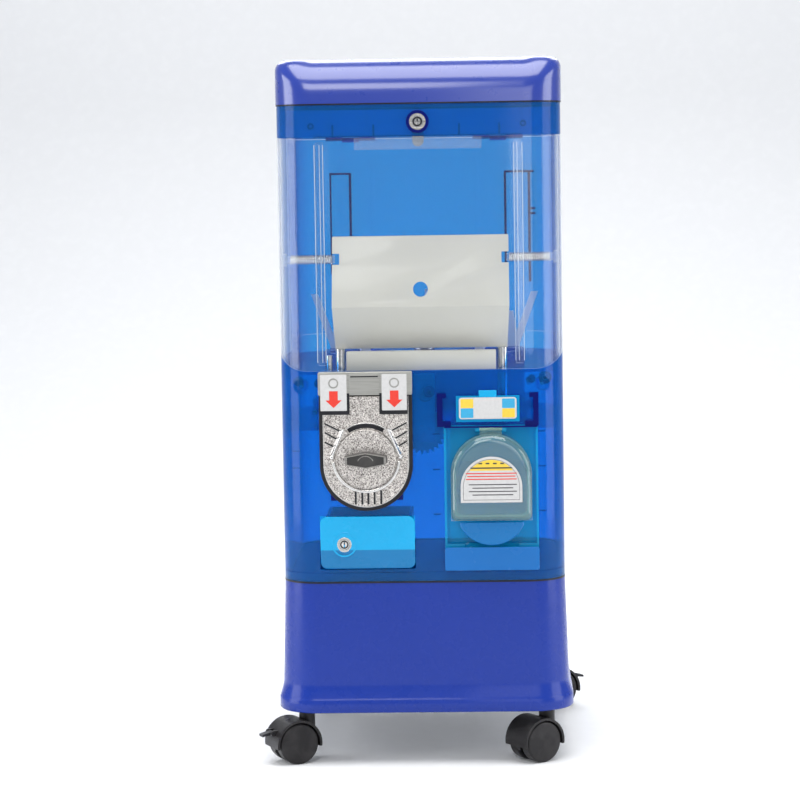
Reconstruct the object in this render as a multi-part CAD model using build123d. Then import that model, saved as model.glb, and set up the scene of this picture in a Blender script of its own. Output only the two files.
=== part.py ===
"""A capsule-toy vending machine on castors.

Frame: millimetres, +Z up, origin on the floor at the middle of the bounding box, the front towards -Y.
Places along Y inside the machine are given as a depth behind the front face of the body.
"""

from build123d import *
from math import asin, cos, degrees, pi, radians, sin, sqrt, tan
import os

# ---------------------------------------------------------------- overall sizes
body_width = 315.0
body_depth = 340.0
body_corner = 42.0  # plan corner radius
wall = 3.0
base_flare = 8.0  # how far the base spreads past the body on each side
base_bottom_z = 60.0
base_band_top_z = 75.0
base_top_z = 206.0
belt_top_z = 216.5
window_bottom_z = 442.0
window_top_z = 699.0
skirt_top_z = 736.0
cap_top_z = 785.0
cap_overhang = 1.0
cap_rounding = 22.0

# ---------------------------------------------------------------- clearances
gap = 0.3  # between pieces that move past each other
fit = 0.05  # radial running clearance of a shaft in its hole
seat = 0.1  # between fixed pieces that sit against each other

# ---------------------------------------------------------------- coin mechanism
mech_x = -62.0
mech_half_width = 51.8
plate_arc_z = 338.0
head_bottom_z = 415.5
head_top_z = 441.5
knob_z = 345.0
plate_out = 6.0
ring_out = 4.0
head_out = 9.0
disc_thick = 6.0
grip_height = 18.0
knob_ring_radius = 38.0
knob_disc_radius = 34.0
grip_length = 47.6
grip_width = 18.0
grip_end_share = 0.6
knob_shaft_radius = 5.0
housing_half_width = 40.0
housing_bottom_z = 298.0
housing_top_z = 434.0
housing_depth = 28.0
drum_radius = 29.0
drum_from, drum_to = 8.0, 22.0
groove_depth = 1.6
label_offset_x = 34.5  # of each label from the mechanism's middle
label_half_width = 14.0
label_bottom_z, label_top_z = 404.0, 441.0
screw_radius = 1.6

# ---------------------------------------------------------------- gears
spur_module = 2.0
drive_teeth = 42
transfer_teeth = 25
spur_from, spur_to = 45.0, 51.0  # depth of the spur gears
crown_module = 3.0
pinion_teeth = 10
crown_teeth = 84
tooth_share = 0.38  # of the pitch
tooth_slope = 22.0  # flank angle, degrees
transfer_shaft_radius = 4.0
bracket_front, bracket_back = 36.0, 41.0  # depths of the bracket's plate

# ---------------------------------------------------------------- capsule wheel
wheel_depth = 186.0  # of its axis
pocket_count = 5
pocket_radius = 36.0
pocket_pitch_radius = 78.0
wheel_radius = 117.0
wheel_bottom_z = 392.0
wheel_top_z = 452.0
wheel_wall = 2.5
crown_width = 11.0
crown_ring_thick = 3.0
floor_thick = 3.0
floor_flange_z = 371.0
floor_flange_depth = 53.0
drop_hole_radius = 36.5
drop_pocket_angle = 342.0
pivot_radius = 7.0
shelf_z = 438.0
shelf_thick = 3.0
fin_top_z = 516.0
fin_reach = 141.0
fin_thick = 2.5
fin_width = 8.0

# ---------------------------------------------------------------- baffle in the hopper
baffle_top_width, baffle_bottom_width = 197.0, 192.0
baffle_top = (50.0, 589.0)  # depth, z
baffle_bend = (18.0, 511.0)
baffle_bottom = (36.0, 464.0)
baffle_thick = 2.0
baffle_hole_radius = 8.2
baffle_hole_z = 530.0
pin_z = 564.0
pin_radius = 4.0
pin_base_radius = 7.0
post_x = 90.0
post_radius = 6.0
post_bottom_z = 405.0
trough_half_width = 83.0
trough_front, trough_back = 12.0, 29.0
trough_top_z = 462.0

# ---------------------------------------------------------------- capsule exit
exit_x = 76.0
exit_half_width = 52.0
exit_bottom_z, exit_top_z = 219.0, 380.0
exit_recess = 10.0
lip_z = 245.0
dome_radius = 45.0
dome_centre_z = 326.0
dome_bottom_z = 274.0
dome_out = 14.0
dome_wall = 2.5
flap_axis_z = 376.0
flap_axis_depth = -3.0
flap_pin_radius = 1.5
flap_barrel_radius = 3.3
flap_ear_inner = 12.4  # from the exit's middle to an ear
flap_ear_thick = 4.6
sticker_margin = 11.0  # from the dome's side to the sticker's
sticker_bottom_z = 295.5
sticker_straight = 17.0
sticker_corner = 3.0
chute_half_width = 44.0
chute_wall = 2.0
chute_front = (13.0, 276.0)  # depth, z of the chute's floor
chute_back = (205.0, 318.0)

# ---------------------------------------------------------------- coin drawer
drawer_half_width = 52.5
drawer_bottom_z, drawer_top_z = 221.0, 280.0
drawer_crease_z = 242.5
drawer_out = 3.0
tray_half_width = 46.5
tray_length = 120.0
tray_wall = 1.5
sleeve_wall = 1.5
drawer_lock_x, drawer_lock_z = -88.0, 249.0
drawer_lock_radius = 7.8
drawer_lock_recess = 14.0
drawer_lock_face, drawer_lock_back = -3.0, 14.0  # depths of the barrel's ends

# ---------------------------------------------------------------- lid
lid_lock_z = 715.0
lid_lock_radius = 10.0
lid_lock_flange = 12.5
lid_lock_face, lid_lock_back = -3.5, 14.0  # depths of the barrel's ends
lock_plug_radius = 5.5
tongue_width = 12.5
tongue_bottom_z = 688.0
hinge_radius = 4.0
hinge_pin_radius = 2.0
hinge_x = 90.0
knuckle_length = 20.0

# ---------------------------------------------------------------- window card and brackets
card_x = 73.0
card_half_width = 32.0
card_bottom_z, card_top_z = 387.0, 411.0

# ---------------------------------------------------------------- castors
castor_x = 135.0
castor_inset_y = 35.0  # from the base's flared edge to the stem
castor_wheel_radius = 23.0
castor_wheel_width = 14.0
castor_web = 8.0
castor_trail = 17.0
hood_inner, hood_outer = 24.3, 27.0
castor_stem_radius = 4.0
castor_axle_radius = 3.0
lever_reach, lever_z = 27.5, 36.0  # the brake lever's pivot, from the axle and from the floor
front_left_turn = 206.8  # degrees, the way each castor trails
front_right_turn = 216.1

# ---------------------------------------------------------------- worked out from the above
front_overhang = plate_out + disc_thick + grip_height
body_y = (front_overhang - base_flare) / 2
front_y = body_y - body_depth / 2
rear_y = body_y + body_depth / 2
half_width = body_width / 2
panel_seam_y = front_y + body_corner + 6
mid_seam_y = body_y
wheel_y = front_y + wheel_depth
drive_radius = spur_module * drive_teeth / 2
transfer_radius = spur_module * transfer_teeth / 2
transfer_z = knob_z + sqrt((drive_radius + transfer_radius) ** 2 - mech_x**2)
pinion_radius = crown_module * pinion_teeth / 2
crown_radius = crown_module * crown_teeth / 2
crown_pitch_z = transfer_z + pinion_radius
crown_inner = crown_radius - crown_width / 2
crown_outer = crown_radius + crown_width / 2
inner_half_width = half_width - wall
skirt_bottom_z = window_top_z + gap
plate_z0, plate_z1 = base_bottom_z + 2, base_bottom_z + 5
socket_top_z = plate_z1 + 20
hinge_y = rear_y + hinge_radius + gap
hinge_z = window_top_z
sticker_radius = dome_radius - sticker_margin
lever_x = castor_trail + lever_reach
drop_rise = pocket_pitch_radius * sin(radians(360 - drop_pocket_angle))
drop_front_depth = wheel_depth - drop_rise - pocket_radius - 4


# ---------------------------------------------------------------- helpers
def at(depth):
    """The Y of a place this far behind the body's front face."""
    return front_y + depth


def block(x0, x1, y0, y1, z0, z1):
    """A box between the given limits."""
    centre = Pos((x0 + x1) / 2, (y0 + y1) / 2, (z0 + z1) / 2)
    return centre * Box(x1 - x0, y1 - y0, z1 - z0)


def rod_x(y, z, x0, x1, radius):
    """A cylinder along X."""
    return Pos((x0 + x1) / 2, y, z) * Rot(0, 90, 0) * Cylinder(radius, x1 - x0)


def rod_y(x, z, y0, y1, radius):
    """A cylinder along Y."""
    return Pos(x, (y0 + y1) / 2, z) * Rot(90, 0, 0) * Cylinder(radius, y1 - y0)


def rod_z(x, y, z0, z1, radius):
    """A cylinder along Z."""
    return Pos(x, y, (z0 + z1) / 2) * Cylinder(radius, z1 - z0)


def slab_y(sketch, y0, y1):
    """A sketch drawn in X and Z, made solid between two places along Y."""
    return extrude(Plane.XZ.offset(-y1) * sketch, y1 - y0)


def slab_x(sketch, x0, x1):
    """A sketch drawn in Y and Z, made solid between two places along X."""
    return extrude(Plane.YZ.offset(x0) * sketch, x1 - x0)


def outline(points):
    """A flat face with straight sides through the points."""
    return make_face(Polyline(*points, close=True))


def body_prism(z0, z1, inset=0.0):
    """The body's rounded plan, drawn in by inset, between two heights."""
    plan = RectangleRounded(body_width - 2 * inset, body_depth - 2 * inset, body_corner - inset)
    return extrude(Pos(0, body_y, z0) * plan, z1 - z0)


def body_ring(z0, z1):
    """The body's wall between two heights."""
    return body_prism(z0, z1) - body_prism(z0 - 1, z1 + 1, wall)


def everything(y0, y1, z0=0.0, z1=900.0):
    """A slab across the whole width, for cutting and keeping."""
    return block(-400, 400, y0, y1, z0, z1)


def window_zone(grow=0.0):
    """The space that the clear window takes: rounded lower corners, the front half of the body."""
    half = half_width + 6 + grow
    bottom = window_bottom_z - grow
    top = window_top_z + 20
    shape = Pos(0, (bottom + top) / 2) * Rectangle(2 * half, top - bottom)
    shape = fillet(shape.vertices().sort_by(Axis.Y)[:2], 36)
    return slab_y(shape, front_y - 20, mid_seam_y + grow)


def save(name, *solids):
    """Writes one node's solids to its STEP file."""
    pieces = [solid for shape in solids for solid in shape.solids()]
    for piece in pieces:
        piece.label = name
    export_step(pieces[0] if len(pieces) == 1 else Compound(children=pieces), f"parts/{name}.step")


def tooth_half_width(pitch, height):
    """Half a tooth's thickness at a height above (or below) the pitch line."""
    return pitch * tooth_share / 2 - height * tan(radians(tooth_slope))


def gear_face(module, teeth, phase):
    """A spur gear's outline, with the middle of one tooth at the angle phase in degrees."""
    pitch_radius = module * teeth / 2
    tip, root = 0.8 * module, 1.15 * module
    points = []
    for tooth in range(teeth):
        middle = radians(phase) + 2 * pi * tooth / teeth
        for height, side in ((-root, -1), (tip, -1), (tip, 1), (-root, 1)):
            radius = pitch_radius + height
            half = tooth_half_width(pi * module, height)
            angle = middle + side * half / radius
            points.append((radius * cos(angle), radius * sin(angle)))
    return outline(points)


# ---------------------------------------------------------------- base and body
def base_skirt():
    """The opaque flared base: a shell, open below, closed on top."""
    bottom = RectangleRounded(
        body_width + 2 * base_flare, body_depth + 2 * base_flare, body_corner + base_flare / 2
    )
    top = RectangleRounded(body_width, body_depth, body_corner)
    inner_bottom = RectangleRounded(
        body_width + 2 * (base_flare - wall),
        body_depth + 2 * (base_flare - wall),
        body_corner + base_flare / 2 - wall,
    )
    inner_top = RectangleRounded(body_width - 2 * wall, body_depth - 2 * wall, body_corner - wall)

    def flared(lower, upper, z0, z1, z2):
        band = extrude(Pos(0, body_y, z0) * lower, z1 - z0)
        taper = loft([Pos(0, body_y, z1) * lower, Pos(0, body_y, z2) * upper])
        return band + taper

    outer = flared(bottom, top, base_bottom_z, base_band_top_z, base_top_z)
    outer = fillet(outer.edges().group_by(Axis.Z)[-1], 3)
    inner = flared(inner_bottom, inner_top, base_bottom_z - 1, base_band_top_z, base_top_z - wall)
    return outer - inner


def castor_places():
    """Each castor's name, stem place and the direction that it trails, in degrees."""
    front = front_y - base_flare + castor_inset_y
    rear = rear_y + base_flare - castor_inset_y
    return {
        "front_left": (-castor_x, front, front_left_turn),
        "front_right": (castor_x, front, front_right_turn),
        "rear_left": (-castor_x, rear, front_right_turn - 180),
        "rear_right": (castor_x, rear, front_left_turn - 180),
    }


def base_plate():
    """The steel floor of the base, with a welded socket for each castor's stem."""
    reach = base_flare - wall - seat
    plan = RectangleRounded(
        body_width + 2 * reach, body_depth + 2 * reach, body_corner + base_flare / 2 - wall - seat
    )
    plate = extrude(Pos(0, body_y, plate_z0) * plan, plate_z1 - plate_z0)
    for x, y, _ in castor_places().values():
        plate += rod_z(x, y, plate_z0, socket_top_z, castor_stem_radius + 5)
    for x, y, _ in castor_places().values():
        plate -= rod_z(x, y, plate_z0 - 1, socket_top_z + 1, castor_stem_radius + fit)
    return plate


def lower_shell():
    """The translucent lower body: a belt all round, the sides and the back, and inner ledges."""
    side_top_z = window_bottom_z + 20
    belt = body_ring(base_top_z + seat, belt_top_z)
    walls = body_ring(base_top_z + seat, side_top_z) & everything(panel_seam_y, 600)
    shell = belt + walls
    for side in (-1, 1):
        inside = side * inner_half_width
        low, high = sorted((inside + side * 0.5, inside - side * 5))
        front, back = panel_seam_y + 8, rear_y - body_corner
        shell += block(low, high, front, back, floor_flange_z - 8, floor_flange_z - seat)
        shell += block(low, high, panel_seam_y + 8, rear_y - body_corner, shelf_z - 8, shelf_z - seat)
    return shell - window_zone(0.2)


def boss_places():
    """Screw bosses inside the front panel: x, z and radius."""
    return [(4, 414, 7.5), (-134, 425, 8), (134, 425, 8), (-119, 395, 4), (119, 428, 4)]


def boss_start(x):
    """How far behind the front face the middle of the panel's wall lies at this x."""
    into_corner = abs(x) - (half_width - body_corner)
    if into_corner <= 0:
        return wall / 2
    return body_corner - sqrt((body_corner - wall / 2) ** 2 - into_corner**2)


def front_panel():
    """The translucent front, with openings for the coin mechanism, drawer and exit, and its bosses."""
    panel = body_ring(belt_top_z + gap, window_bottom_z + 33)
    panel &= everything(-600, panel_seam_y - gap)
    panel -= window_zone(0.2)
    for x, z, radius in boss_places():
        start = boss_start(x)
        panel += rod_y(x, z, at(start), at(start + 14), radius)
    for x, z, radius in boss_places():
        panel -= rod_y(x, z, at(boss_start(x) + 4), at(40), screw_radius)
    reach = housing_half_width + seat
    panel -= block(
        mech_x - reach, mech_x + reach, at(-1), at(wall + 1), housing_bottom_z - seat, housing_top_z + seat
    )
    reach = drawer_half_width + 2 * gap
    panel -= block(
        mech_x - reach, mech_x + reach, at(-1), at(wall + 1),
        drawer_bottom_z - 2 * gap, drawer_top_z + 2 * gap,
    )
    reach = exit_half_width + seat
    panel -= block(
        exit_x - reach, exit_x + reach, at(-1), at(exit_recess), exit_bottom_z - seat, exit_top_z + seat
    )
    return panel


def body_screws():
    """The screws up the front panel's bosses from inside, and those through the coin mechanism."""
    screws = []
    for x, z, radius in boss_places():
        end = boss_start(x) + 14 + seat
        shank = rod_y(x, z, at(end - 8), at(end), screw_radius - seat)
        screws.append(shank + rod_y(x, z, at(end), at(end + 2), 3))
    for side in (-1, 1):
        x = mech_x + side * (mech_half_width - 6)
        for z in (plate_arc_z - 4, head_bottom_z - 30):
            shank = rod_y(x, z, at(-1), at(wall + 4), screw_radius - seat)
            screws.append(shank + rod_y(x, z, at(wall + seat), at(wall + 4), 3.5))
    return screws


def mech_screw_holes():
    """The holes that those screws need in the plate and the panel."""
    holes = []
    for side in (-1, 1):
        x = mech_x + side * (mech_half_width - 6)
        for z in (plate_arc_z - 4, head_bottom_z - 30):
            holes.append(rod_y(x, z, at(-1.5), at(wall + 1), screw_radius))
    return holes


def clear_window():
    """The clear window round the body's front half."""
    return body_ring(window_bottom_z, window_top_z) & window_zone()


def window_rails():
    """Two clear uprights inside the window's front, each with a round boss near its top."""
    rails = []
    for side in (-1, 1):
        x = side * 109
        rail = block(x - 4, x + 4, at(wall + seat), at(wall + 6), window_bottom_z + 6, window_top_z - 5)
        rail += rod_y(x, window_top_z - 12, at(wall + seat), at(wall + 8), 5)
        rails.append(rail)
    return rails


def window_latch_rail():
    """The strip across the window's top that the lid's lock stands behind."""
    return block(-70, 70, at(wall + seat), at(12), window_top_z - 14, window_top_z - 1)


def rear_shell():
    """The translucent back and rear sides of the hopper, with two ribbed frames and the lid's knuckles."""
    bottom = window_bottom_z + 20 + gap
    shell = body_ring(bottom, window_top_z) & everything(mid_seam_y + gap, 600)
    inside = rear_y - wall
    for side in (-1, 1):
        x0, x1 = sorted((side * 62, side * 102))
        frame = block(x0, x1, inside - 5, inside + 0.5, 520, 676)
        frame -= block(x0 + 3, x1 - 3, inside - 6, inside, 523, 673)
        shell += frame
        for start in (-knuckle_length * 1.5 - gap, knuckle_length / 2 + gap):
            x = side * hinge_x + start
            knuckle = rod_x(hinge_y, hinge_z, x, x + knuckle_length, hinge_radius)
            back = hinge_y + hinge_radius
            knuckle += block(x, x + knuckle_length, rear_y - 0.5, back, hinge_z - 14, hinge_z)
            shell += knuckle
    for side in (-1, 1):
        x = side * hinge_x
        shell -= rod_x(hinge_y, hinge_z, x - 2 * knuckle_length, x + 2 * knuckle_length, hinge_pin_radius)
        middle = knuckle_length / 2 + gap
        shell -= rod_x(hinge_y, hinge_z, x - middle, x + middle, hinge_radius + gap)
    return shell


def hinge_pins():
    """The lid's two hinge pins and the exit flap's pin."""
    pins = []
    for side in (-1, 1):
        x = side * hinge_x
        reach = 1.5 * knuckle_length + gap
        pins.append(rod_x(hinge_y, hinge_z, x - reach, x + reach, hinge_pin_radius))
    reach = flap_ear_inner + flap_ear_thick
    pins.append(rod_x(at(flap_axis_depth), flap_axis_z, exit_x - reach, exit_x + reach, flap_pin_radius))
    return pins


# ---------------------------------------------------------------- hopper
def hopper_shelf():
    """The floor of the hopper, with the round hole that the capsule wheel turns in."""
    shelf = body_prism(shelf_z, shelf_z + shelf_thick, wall + seat)
    shelf -= rod_z(0, wheel_y, shelf_z - 1, shelf_z + 4, wheel_radius + 1.5)
    for side in (-1, 1):
        shelf -= rod_z(side * post_x, at(baffle_bottom[0]), shelf_z - 1, shelf_z + 4, post_radius + fit)
    return shelf


def baffle_sketch():
    """The baffle's bent section in Y and Z, drawn towards the back by its thickness."""
    front = [(at(depth), z) for depth, z in (baffle_top, baffle_bend, baffle_bottom)]
    back = [(y + baffle_thick, z) for y, z in reversed(front)]
    return outline(front + back)


def pin_depth():
    """The depth of the baffle's upper face at the height of the side pins."""
    share = (pin_z - baffle_bend[1]) / (baffle_top[1] - baffle_bend[1])
    return baffle_bend[0] + share * (baffle_top[0] - baffle_bend[0]) + baffle_thick / 2


def baffle_panel():
    """The cream panel in the hopper: two flat halves, a round hole and a notch in each side."""
    panel = slab_x(baffle_sketch(), -baffle_top_width / 2, baffle_top_width / 2)
    shape = outline(
        [
            (-baffle_bottom_width / 2, baffle_bottom[1] - 1),
            (baffle_bottom_width / 2, baffle_bottom[1] - 1),
            (baffle_top_width / 2, baffle_bend[1]),
            (baffle_top_width / 2, baffle_top[1] + 1),
            (-baffle_top_width / 2, baffle_top[1] + 1),
            (-baffle_top_width / 2, baffle_bend[1]),
        ]
    )
    shape = fillet(shape.vertices().group_by(Axis.Y)[-1], 3)
    panel &= slab_y(shape, at(0), at(100))
    panel -= rod_y(0, baffle_hole_z, at(0), at(100), baffle_hole_radius)
    for side in (-1, 1):
        x0, x1 = sorted((side * (baffle_top_width / 2 - 8), side * baffle_top_width))
        panel -= block(x0, x1, at(0), at(100), pin_z - pin_radius - 2, pin_z + pin_radius + 2)
    return panel


def baffle_posts():
    """The two chrome posts that carry the baffle, and the short stub beside the left one."""
    y = at(baffle_bottom[0] + baffle_thick / 2)
    posts = [
        rod_z(side * post_x, at(baffle_bottom[0]), post_bottom_z, baffle_bottom[1] - seat, post_radius)
        for side in (-1, 1)
    ]
    stub = rod_z(-post_x - 13, y, shelf_z + shelf_thick + seat, shelf_z + shelf_thick + 16, 3.5)
    return posts + [stub]


def guard_trough():
    """The white trough across the hopper's front, with cross ribs."""
    bottom = shelf_z + shelf_thick + seat
    trough = block(
        -trough_half_width, trough_half_width, at(trough_front), at(trough_back), bottom, trough_top_z
    )
    hollow = block(
        -trough_half_width + 2, trough_half_width - 2, at(trough_front + 2), at(trough_back - 2),
        bottom + 2, 500,
    )
    trough -= hollow
    for x in (-70, -44, -13, 22, 67):
        trough += block(x - 1, x + 1, at(trough_front), at(trough_back), bottom, trough_top_z - 2)
    return trough


def inner_reach(depth):
    """Half the clear width inside the body's wall at a depth within the rounded corner."""
    into_corner = body_corner - depth
    if into_corner <= 0:
        return inner_half_width
    return half_width - body_corner + sqrt((body_corner - wall) ** 2 - into_corner**2)


def spring_pins():
    """Two clear pins from the window's sides towards the baffle's notches."""
    pins = []
    for side in (-1, 1):
        outer = inner_reach(pin_depth() - pin_base_radius) - seat
        inner = baffle_top_width / 2 - 3
        low, high = sorted((side * inner, side * outer))
        pin = rod_x(at(pin_depth()), pin_z, low, high, pin_radius)
        low, high = sorted((side * (outer - 5), side * outer))
        pin += rod_x(at(pin_depth()), pin_z, low, high, pin_base_radius)
        pins.append(pin)
    return pins


def baffle_springs():
    """The two coil springs round the side pins."""
    springs = []
    wire = 0.7
    turns_from = baffle_top_width / 2 + 4
    turns_to = inner_half_width - 10
    for side in (-1, 1):
        path = Helix(pitch=3.2, height=turns_to - turns_from, radius=pin_radius + wire + 0.2)
        start = path @ 0
        profile = Plane(origin=start, z_dir=path % 0) * Circle(wire)
        coil = sweep(profile, path)
        turn = Rot(0, 90, 0) if side > 0 else Rot(0, -90, 0)
        springs.append(Pos(side * turns_from, at(pin_depth()), pin_z) * turn * coil)
    return springs


# ---------------------------------------------------------------- capsule wheel and its drive
def polar(radius, angle):
    """A place round the wheel's axis."""
    return radius * cos(radians(angle)), wheel_y + radius * sin(radians(angle))


def pocket_angles():
    """Where each pocket of the wheel stands at rest, in degrees."""
    return [drop_pocket_angle + 360 / pocket_count * k for k in range(pocket_count)]


def capsule_wheel():
    """The moulded wheel: a top plate, five pocket tubes, a hub, an outer wall and the crown teeth below."""
    z0, z1 = wheel_bottom_z, wheel_top_z
    wheel = rod_z(0, wheel_y, z0, z1, wheel_radius)
    wheel -= rod_z(0, wheel_y, z0 - 1, z1 - 3, wheel_radius - wheel_wall)
    wheel += rod_z(0, wheel_y, z0, z1, pivot_radius + 6)
    for angle in pocket_angles():
        wheel += rod_z(*polar(pocket_pitch_radius, angle), z0, z1, pocket_radius + wheel_wall)
    for angle in pocket_angles():
        wheel -= rod_z(*polar(pocket_pitch_radius, angle), z0 - 1, z1 + 1, pocket_radius)
    wheel -= rod_z(0, wheel_y, z0 - 1, z1 + 1, pivot_radius + fit)
    root_z = crown_pitch_z + 1.2 * crown_module
    ring = rod_z(0, wheel_y, root_z, wheel_bottom_z + crown_ring_thick, crown_outer)
    ring -= rod_z(0, wheel_y, root_z - 1, wheel_bottom_z, crown_inner)
    ring -= rod_z(0, wheel_y, root_z - 1, wheel_bottom_z + 9, wheel_radius - 1)
    return (wheel + ring).fuse(*crown_teeth_solids(root_z))


def crown_teeth_solids(root_z):
    """The face teeth under the wheel's rim, with a space straight towards the front."""
    tip_height, sunk = 0.8 * crown_module, 0.5
    pitch = 2 * pi * crown_radius / crown_teeth
    tip = tooth_half_width(pitch, tip_height)
    root = tooth_half_width(pitch, crown_pitch_z - root_z)
    tip_z = crown_pitch_z - tip_height
    corners = [(-tip, tip_z), (tip, tip_z), (root, root_z)]
    corners += [(root, root_z + sunk), (-root, root_z + sunk), (-root, root_z)]
    shape = outline(corners)
    tooth = slab_y(shape, -crown_outer + 0.02, -crown_inner - 0.02)
    return [
        Pos(0, wheel_y, 0) * Rot(0, 0, 360 * (k + 0.5) / crown_teeth) * tooth for k in range(crown_teeth)
    ]


def agitator_fins():
    """The V-shaped fins on the wheel's top, one between each two pockets."""
    foot_z = wheel_top_z + seat
    foot = wheel_radius - 6
    outer_top = fin_reach - 3
    fins = []
    shape = outline(
        [
            (foot - 8, foot_z),
            (wheel_radius, foot_z),
            (wheel_radius + 1, foot_z + 4),
            (outer_top + 3, fin_top_z),
            (outer_top - fin_width + 3, fin_top_z),
            (foot + 3, foot_z + 16),
            (foot - 1, fin_top_z - 22),
            (foot - 1 - fin_width, fin_top_z - 22),
        ]
    )
    fin = slab_y(shape, -fin_thick / 2, fin_thick / 2)
    for angle in pocket_angles():
        turn = Pos(0, wheel_y, 0) * Rot(0, 0, angle + 180 / pocket_count)
        fins.append(turn * fin)
    return fins


def wheel_floor():
    """The plate that the capsules slide round on, raised under the wheel, with the drop hole."""
    top = wheel_bottom_z - seat - gap
    outer = crown_inner - 2 * gap
    inner = outer - floor_thick
    z0 = floor_flange_z
    flange = body_prism(z0, z0 + floor_thick, wall + seat) & everything(at(floor_flange_depth), 600)
    cut = pinion_radius + crown_module + 3
    pinion_back = wheel_y - outer
    flange -= block(-cut, cut, at(0), pinion_back - gap, z0 - 1, z0 + floor_thick + 1)
    raised = rod_z(0, wheel_y, z0, top, outer)
    plate = flange + raised - rod_z(0, wheel_y, z0 - 1, top - floor_thick, inner)
    plate -= rod_z(*polar(pocket_pitch_radius, drop_pocket_angle), z0 - 1, top + 1, drop_hole_radius)
    plate -= rod_z(0, wheel_y, z0 - 1, top + 1, pivot_radius - 2)
    return plate


def wheel_pivot():
    """The post that the wheel turns on, with its shouldered foot and its cap."""
    floor_top = wheel_bottom_z - seat - gap
    post = rod_z(0, wheel_y, floor_top + seat, wheel_top_z + 2, pivot_radius)
    post += rod_z(0, wheel_y, floor_top - floor_thick, floor_top + seat, pivot_radius - 2 - seat)
    post += rod_z(0, wheel_y, floor_top - 2 * floor_thick - 2, floor_top - floor_thick - seat, pivot_radius)
    cap = rod_z(0, wheel_y, wheel_top_z + gap, wheel_top_z + 6, pivot_radius + 5)
    return post + fillet(cap.edges().group_by(Axis.Z)[-1], 2)


def spur_phase():
    """The angle, seen from the back, of the line from the knob's shaft to the transfer shaft."""
    return degrees(asin((transfer_z - knob_z) / (drive_radius + transfer_radius)))


def drive_gear():
    """The large spur gear behind the coin mechanism."""
    face = Pos(mech_x, knob_z) * gear_face(spur_module, drive_teeth, spur_phase())
    face -= Pos(mech_x, knob_z) * Circle(knob_shaft_radius)
    for k in range(5):
        hole = Pos(mech_x, knob_z) * Rot(0, 0, 72 * k + 18) * Pos(drive_radius * 0.58, 0) * Circle(8)
        face -= hole
    return slab_y(face, at(spur_from), at(spur_to))


def transfer_gear():
    """The small spur gear, with a space towards the drive gear."""
    phase = spur_phase() + 180 + 180 / transfer_teeth
    face = Pos(0, transfer_z) * gear_face(spur_module, transfer_teeth, phase)
    face -= Pos(0, transfer_z) * Circle(transfer_shaft_radius)
    return slab_y(face, at(spur_from), at(spur_to))


def pinion_shaft():
    """The transfer shaft with the crown pinion cut on its back end, one tooth straight up."""
    shaft = rod_y(0, transfer_z, at(bracket_front), at(spur_to), transfer_shaft_radius)
    shaft += rod_y(0, transfer_z, at(bracket_front - 3), at(bracket_front - gap), transfer_shaft_radius + 3)
    face = Pos(0, transfer_z) * gear_face(crown_module, pinion_teeth, 90)
    start = wheel_y - crown_outer
    shaft += rod_y(0, transfer_z, at(spur_to), start, transfer_shaft_radius + 2)
    return shaft + slab_y(face, start, wheel_y - crown_inner)


def transfer_bracket():
    """The hanging bracket that carries the transfer shaft."""
    bracket = block(-14, 14, at(bracket_front), at(bracket_back), transfer_z - 12, shelf_z - seat)
    bracket += block(-14, 14, at(bracket_front - 16), at(bracket_back), shelf_z - 3, shelf_z - seat)
    bracket += rod_y(0, transfer_z, at(bracket_front), at(bracket_back + 3), transfer_shaft_radius + 4)
    return bracket - rod_y(0, transfer_z, at(0), at(60), transfer_shaft_radius + fit)


# ---------------------------------------------------------------- coin mechanism
def plate_sketch(margin=0.0):
    """The U-shaped plate's outline in X and Z, drawn in by margin."""
    half = mech_half_width - margin
    top = head_bottom_z - seat - margin
    shape = Pos(mech_x, plate_arc_z) * Circle(half)
    return shape + Pos(mech_x, (plate_arc_z + top) / 2) * Rectangle(2 * half, top - plate_arc_z)


def bell_sketch():
    """The raised bell above the knob, from its sloping shoulders to the slot at its top."""
    return outline(
        [
            (mech_x - 36, knob_z + 8),
            (mech_x - 33, knob_z + 26),
            (mech_x - 19, knob_z + 48),
            (mech_x + 19, knob_z + 48),
            (mech_x + 33, knob_z + 26),
            (mech_x + 36, knob_z + 8),
        ]
    )


def groove_sketches():
    """Three slanted grooves on each side of the plate and five upright ones below the knob."""
    grooves = []
    for side in (-1, 1):
        for step in range(3):
            shape = SlotCenterToCenter(14, 3.2)
            place = Pos(mech_x + side * 42.5, knob_z + 14 - 9 * step) * Rot(0, 0, side * 24)
            grooves.append(place * shape)
    for step in range(-2, 3):
        x = mech_x + 8 * step
        bottom = plate_arc_z - sqrt((mech_half_width - 5) ** 2 - (8 * step) ** 2)
        top = knob_z - sqrt((knob_ring_radius + 2.5) ** 2 - (8 * step) ** 2)
        grooves.append(Pos(x, (bottom + top) / 2) * SlotOverall(top - bottom, 3.2, 90))
    return grooves


def coin_mech_plate():
    """The chromed plate: U-shaped, with the knob's ring, the bell over it and its grooves."""
    plate = slab_y(plate_sketch(), at(-plate_out), at(-seat))
    plate = fillet(plate.faces().sort_by(Axis.Y)[0].outer_wire().edges(), 2)
    circle = Pos(mech_x, knob_z) * Circle(knob_ring_radius)
    ring = slab_y(circle, at(-plate_out - ring_out), at(-plate_out + 0.5))
    bell = slab_y(bell_sketch(), at(-plate_out - ring_out + 1), at(-plate_out + 0.5))
    plate += ring + bell
    plate -= rod_y(mech_x, knob_z, at(-plate_out - 20), at(-plate_out), knob_disc_radius + gap)
    for groove in groove_sketches():
        plate -= slab_y(groove, at(-plate_out - 1), at(-plate_out + groove_depth))
    slot = Pos(mech_x, knob_z + 44) * SlotOverall(32, 4)
    plate -= slab_y(slot, at(-plate_out - ring_out - 1), at(-plate_out - 1))
    plate -= rod_y(mech_x, knob_z, at(-50), at(10), knob_shaft_radius + fit)
    for hole in mech_screw_holes():
        plate -= hole
    return plate


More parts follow.
